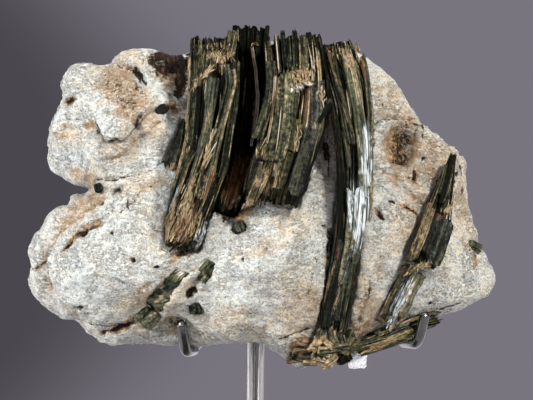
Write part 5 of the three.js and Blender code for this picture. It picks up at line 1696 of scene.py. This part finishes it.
def crystal_block(node, tone, gloss, mottle, lean, wider, lift, shift):
    """A chipped block shaped from a copy of its packed solid, a little wider than the seat in the rock."""
    low, high = (np.array(corner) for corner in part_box(node))
    middle = (low + high) / 2
    block = node_copy(node, node + "_block")
    mesh = block.data
    moved = (OUTWARD * lift + np.array([shift[0], 0, shift[1]])) * MM
    move_points(mesh, middle + (points_of(mesh) - middle) * np.array([wider, 1, wider]) + moved)
    clean(block, MERGE_DISTANCE)
    remesh(block, BLOCK_VOXEL)
    apply_modifier(block, "SMOOTH", factor=0.5, iterations=BLOCK_SMOOTHING)
    points, normals = points_of(mesh) / MM, normals_of(mesh)
    across, along = turned(points[:, 0], points[:, 2], math.radians(lean))
    lined = np.stack([across, 0.3 * points[:, 1], 0.12 * along], 1)
    chips = 0.5 - np.abs(lattice_noise(points, 3.1, 51)) - 0.5 * np.abs(lattice_noise(points, 1.5, 52))
    height = 0.2 * lattice_noise(lined, 0.9, 53) + (0.3 + 0.6 * mottle) * chips
    move_points(mesh, (points + normals * height[:, None]) * MM)
    write_grain(mesh, np.stack([across + points[:, 1], along], 1) * MM)
    write_values(mesh, "tone", tone + 0.16 * chips)
    write_values(mesh, "gloss", gloss)
    write_values(mesh, "mottle", mottle)
    colour_sheaf(mesh)
    crease(block, BLOCK_CREASE)
    return block


class SPECIMEN_OT_set_in_crystals(bpy.types.Operator):
    """Makes the small crystals that sit in the face of the rock"""

    bl_idname = "specimen.set_in_crystals"
    bl_label = "Set-in Crystals"

    def execute(self, context):
        material = crystal_material(context.scene.specimen_crystal)
        for node, looks in BLOCKS.items():
            on_body(crystal_block(node, *looks), material, "actinolite", node)
        return {"FINISHED"}


class SPECIMEN_OT_white_chip(bpy.types.Operator):
    """Shapes the white chip at the foot"""

    bl_idname = "specimen.white_chip"
    bl_label = "White Chip"

    def execute(self, context):
        low, high = (Vector(corner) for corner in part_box("white_chip"))
        low -= Vector(CHIP_SHIFT)
        middle = (low + high) / 2
        deselect_all()
        bpy.ops.mesh.primitive_cube_add(size=1, location=middle)
        chip = bpy.context.object
        chip.name = "white_chip_piece"
        chip.scale = (high - low) * CHIP_FIT
        bpy.ops.object.transform_apply(location=True, rotation=True, scale=True)
        for normal, share in CHIP_CUTS:
            bpy.ops.object.mode_set(mode="EDIT")
            bpy.ops.mesh.select_all(action="SELECT")
            normal = Vector(normal).normalized()
            place = middle + normal * (high - low).length * 0.5 * share
            bpy.ops.mesh.bisect(plane_co=place, plane_no=normal, use_fill=True, clear_outer=True)
            bpy.ops.object.mode_set(mode="OBJECT")
        apply_modifier(chip, "BEVEL", width=CHIP_BEVEL, segments=2)
        remesh(chip, CHIP_VOXEL)
        points = points_of(chip.data) / MM
        teeth = 0.9 * lattice_noise(points, 2.4, 71) + 0.7 * lattice_noise(points, 1.1, 72)
        move_points(chip.data, (points + normals_of(chip.data) * teeth[:, None]) * MM)
        crease(chip, CHIP_CREASE)
        on_body(chip, talc_material(), "white_talc", "white_chip")
        return {"FINISHED"}


# ---- The stand ----------------------------------------------------------------------------------


def unit_vector(vector):
    return vector / np.linalg.norm(vector)


def bent_path(corners):
    """Points in mm along straight lines with a round bend at each inner corner."""
    points = [np.array(corner[:3], float) for corner in corners]
    line = []
    for i, corner in enumerate(points):
        radius = corners[i][3] if len(corners[i]) > 3 else BEND_RADIUS
        if i in (0, len(points) - 1) or radius == 0:
            line.append(corner)
            continue
        start, end = (corner + unit_vector(points[k] - corner) * radius for k in (i - 1, i + 1))
        for share in np.linspace(0, 1, BEND_STEPS + 1):
            line.append((1 - share) ** 2 * start + 2 * share * (1 - share) * corner + share**2 * end)
    return np.array(line)


def domed(line, radius):
    """The path's points with a share of the radius at each, closing in a dome at its far end."""
    direction = unit_vector(line[-1] - line[-2])
    points = [(*point, 1.0) for point in line[:-1]]
    for angle in np.linspace(0, 88, DOME_STEPS):
        turn = math.radians(angle)
        points.append((*(line[-1] - direction * radius * (1 - math.sin(turn))), math.cos(turn)))
    return points


def swept_bar(name, points, radius, caps):
    """A round bar along a line of (x, y, z, share of radius) points in mm, as a mesh."""
    data = bpy.data.curves.new(name, "CURVE")
    data.dimensions = "3D"
    data.bevel_depth = radius
    data.bevel_resolution = BAR_FINENESS
    data.use_fill_caps = caps
    spline = data.splines.new("POLY")
    spline.points.add(len(points) - 1)
    for point, (x, y, z, share) in zip(spline.points, points):
        point.co = (x * MM, y * MM, z * MM, 1)
        point.radius = share
    activate(new_object(name, data))
    bpy.ops.object.convert(target="MESH")
    bar = bpy.context.object
    bar.name = name
    clean(bar, MERGE_DISTANCE / 2, face_out=True)
    line = np.array([point[:3] for point in points]) * MM
    steps = steps_along(line)
    place = points_of(bar.data)
    nearest = np.argmin(((place[:, None] - line[None]) ** 2).sum(2), 1)
    from_line = place - line[nearest]
    turn = np.arctan2(from_line[:, 1], from_line[:, 0])
    write_grain(bar.data, np.stack([turn * radius, steps[nearest]], 1))
    crease(bar, BAR_CREASE)
    return bar


class SPECIMEN_OT_stand_rods(bpy.types.Operator):
    """Bends the three steel rods of the stand"""

    bl_idname = "specimen.stand_rods"
    bl_label = "Stand Rods"

    def execute(self, context):
        material = steel_material(context.scene.specimen_stand)
        for node, corners in ARM_PATHS.items():
            rod = swept_bar(node + "_bar", domed(bent_path(corners), ROD_RADIUS / MM), ROD_RADIUS, True)
            on_body(rod, material, "steel_rod", node)
        return {"FINISHED"}


class SPECIMEN_OT_hook_sleeves(bpy.types.Operator):
    """Draws a soft sleeve over each hook"""

    bl_idname = "specimen.hook_sleeves"
    bl_label = "Hook Sleeves"

    def execute(self, context):
        material = sleeve_material(context.scene.specimen_stand)
        for node, rod in SLEEVE_OF.items():
            line = bent_path(ARM_PATHS[rod])[-(BEND_STEPS + 3):]
            line[-1] -= unit_vector(line[-1] - line[-2]) * BARE_TIP
            sleeve = swept_bar(node + "_tube", [(*point, 1.0) for point in line], SLEEVE_RADIUS, False)
            apply_modifier(sleeve, "SOLIDIFY", thickness=SLEEVE_WALL, offset=-1)
            edges = {"width": SLEEVE_BEVEL, "segments": 2, "angle_limit": math.radians(BAR_CREASE)}
            apply_modifier(sleeve, "BEVEL", **edges)
            on_body(sleeve, material, "sleeve", node)
        return {"FINISHED"}


class SPECIMEN_OT_base_plate(bpy.types.Operator):
    """Gives the packed base plate its satin black finish"""

    bl_idname = "specimen.base_plate"
    bl_label = "Base Plate"

    def execute(self, context):
        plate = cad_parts["base_plate"]
        material = base_material(context.scene.specimen_stand)
        if not plate.material_slots:
            raise RuntimeError("the base plate has no material slot")
        for slot in plate.material_slots:
            slot.material = material
        return {"FINISHED"}


# ---- The stage ----------------------------------------------------------------------------------

# In metres, but for the lens and the sensor, which are in mm.
FLOOR_SIDES, FLOOR_RADIUS, FLOOR_MIDDLE = 128, 4.0, (0, -2.92, 0)
LIGHTS_AIM = (0.0, -0.02, 0.18)
CAMERA_PLACE, CAMERA_LENS, CAMERA_SENSOR = (0.0072, -2.2, 0.1818), 247.7, 36
FARTHEST_SEEN = 60

# The lights: name, the setting of their power, place and size in metres, and tint.
LIGHTS = (
    ("Key light", "key_power", (1.1, -1.3, 1.35), 0.26, (1.0, 0.975, 0.94)),
    ("Side light", "side_power", (-1.9, -0.75, 0.75), 0.7, (0.94, 0.96, 1.0)),
    ("Back light", "back_power", (0.5, 2.2, 1.9), 1.8, (0.98, 0.98, 1.0)),
)


def area_light(name, power, place, size, tint):
    data = bpy.data.lights.new(name, "AREA")
    data.shape = "DISK"
    data.size = size
    data.energy = power
    data.color = tint
    light = new_object(name, data)
    light.location = place
    light.rotation_euler = (Vector(LIGHTS_AIM) - Vector(place)).to_track_quat("-Z", "Y").to_euler()


def floor_material(settings):
    material, tree = new_material("Pale Floor")
    cloud = object_place(tree).noise(3.0, 3, 0.5).ease(0.3, 0.7)
    darker = [0.94 * c for c in settings.floor]
    return finished(material, {"Base Color": cloud.mix(settings.floor, darker), "Roughness": 0.7})


def studio_air(settings):
    """A world that is darker on the left at the height of the camera."""
    world = bpy.data.worlds.new("Studio air")
    world.use_nodes = True
    tree = world.node_tree
    tree.nodes.clear()
    way = source(tree, "ShaderNodeTexCoord", "Generated")
    x, z = (way.put("ShaderNodeSeparateXYZ", axis, {"Vector": way}) for axis in "XZ")
    bright = (z * z * 30.0 + x * 3.2).ease(-0.19, 0.03, 0.36, 1.0)
    shade = bright.mix((0, 0, 0), settings.air)
    glow = shade.put("ShaderNodeBackground", 0, {"Color": shade, "Strength": 1.0})
    add_node(tree, "ShaderNodeOutputWorld", {"Surface": glow})
    return world


class SPECIMEN_OT_stage(bpy.types.Operator):
    """Sets the pale floor, the lights, the air around and the camera"""

    bl_idname = "specimen.stage"
    bl_label = "Stage"

    def execute(self, context):
        scene = context.scene
        settings = scene.specimen_stage
        deselect_all()
        bpy.ops.mesh.primitive_circle_add(
            vertices=FLOOR_SIDES, radius=FLOOR_RADIUS, fill_type="NGON", location=FLOOR_MIDDLE
        )
        floor = bpy.context.object
        floor.name = "pale_floor"
        bpy.ops.object.transform_apply(location=True, rotation=True, scale=True)
        floor.data.materials.append(floor_material(settings))
        scene.world = studio_air(settings)
        for name, power_setting, place, size, tint in LIGHTS:
            area_light(name, getattr(settings, power_setting), place, size, tint)
        data = bpy.data.cameras.new("Camera")
        data.sensor_width = CAMERA_SENSOR
        data.sensor_fit = "HORIZONTAL"
        data.lens = CAMERA_LENS
        data.clip_end = FARTHEST_SEEN
        camera = new_object("Camera", data)
        camera.location = CAMERA_PLACE
        camera.rotation_euler = (math.radians(90), 0, 0)
        scene.camera = camera
        scene.view_settings.view_transform = "Standard"
        return {"FINISHED"}


# ---- The panel and the run ----------------------------------------------------------------------

STEPS_IN_ORDER = (
    SPECIMEN_OT_rock, SPECIMEN_OT_large_sheaves, SPECIMEN_OT_side_crystals, SPECIMEN_OT_set_in_crystals,
    SPECIMEN_OT_white_chip, SPECIMEN_OT_stand_rods, SPECIMEN_OT_hook_sleeves, SPECIMEN_OT_base_plate,
    SPECIMEN_OT_stage,
)
SETTINGS = {
    "specimen_rock": RockSettings, "specimen_crystal": CrystalSettings,
    "specimen_stand": StandSettings, "specimen_stage": StageSettings,
}


class SPECIMEN_PT_panel(bpy.types.Panel):
    """Lists the pieces of the specimen and their settings"""

    bl_idname = "SPECIMEN_PT_panel"
    bl_label = "Actinolite Specimen"
    bl_space_type = "VIEW_3D"
    bl_region_type = "UI"
    bl_category = "Specimen"

    def draw(self, context):
        for step in STEPS_IN_ORDER:
            self.layout.operator(step.bl_idname)
        for name, group in SETTINGS.items():
            box = self.layout.box()
            box.label(text=group.__doc__)
            for key in group.__annotations__:
                box.prop(getattr(context.scene, name), key)


CLASSES = (*SETTINGS.values(), *STEPS_IN_ORDER, SPECIMEN_PT_panel)


def register():
    for entry in CLASSES:
        bpy.utils.register_class(entry)
    for name, group in SETTINGS.items():
        setattr(bpy.types.Scene, name, bpy.props.PointerProperty(type=group))


def unregister():
    for name in SETTINGS:
        delattr(bpy.types.Scene, name)
    for entry in reversed(CLASSES):
        bpy.utils.unregister_class(entry)


def main():
    register()
    for step in STEPS_IN_ORDER:
        family, name = step.bl_idname.split(".")
        getattr(getattr(bpy.ops, family), name)()


if __name__ == "__main__":
    main()
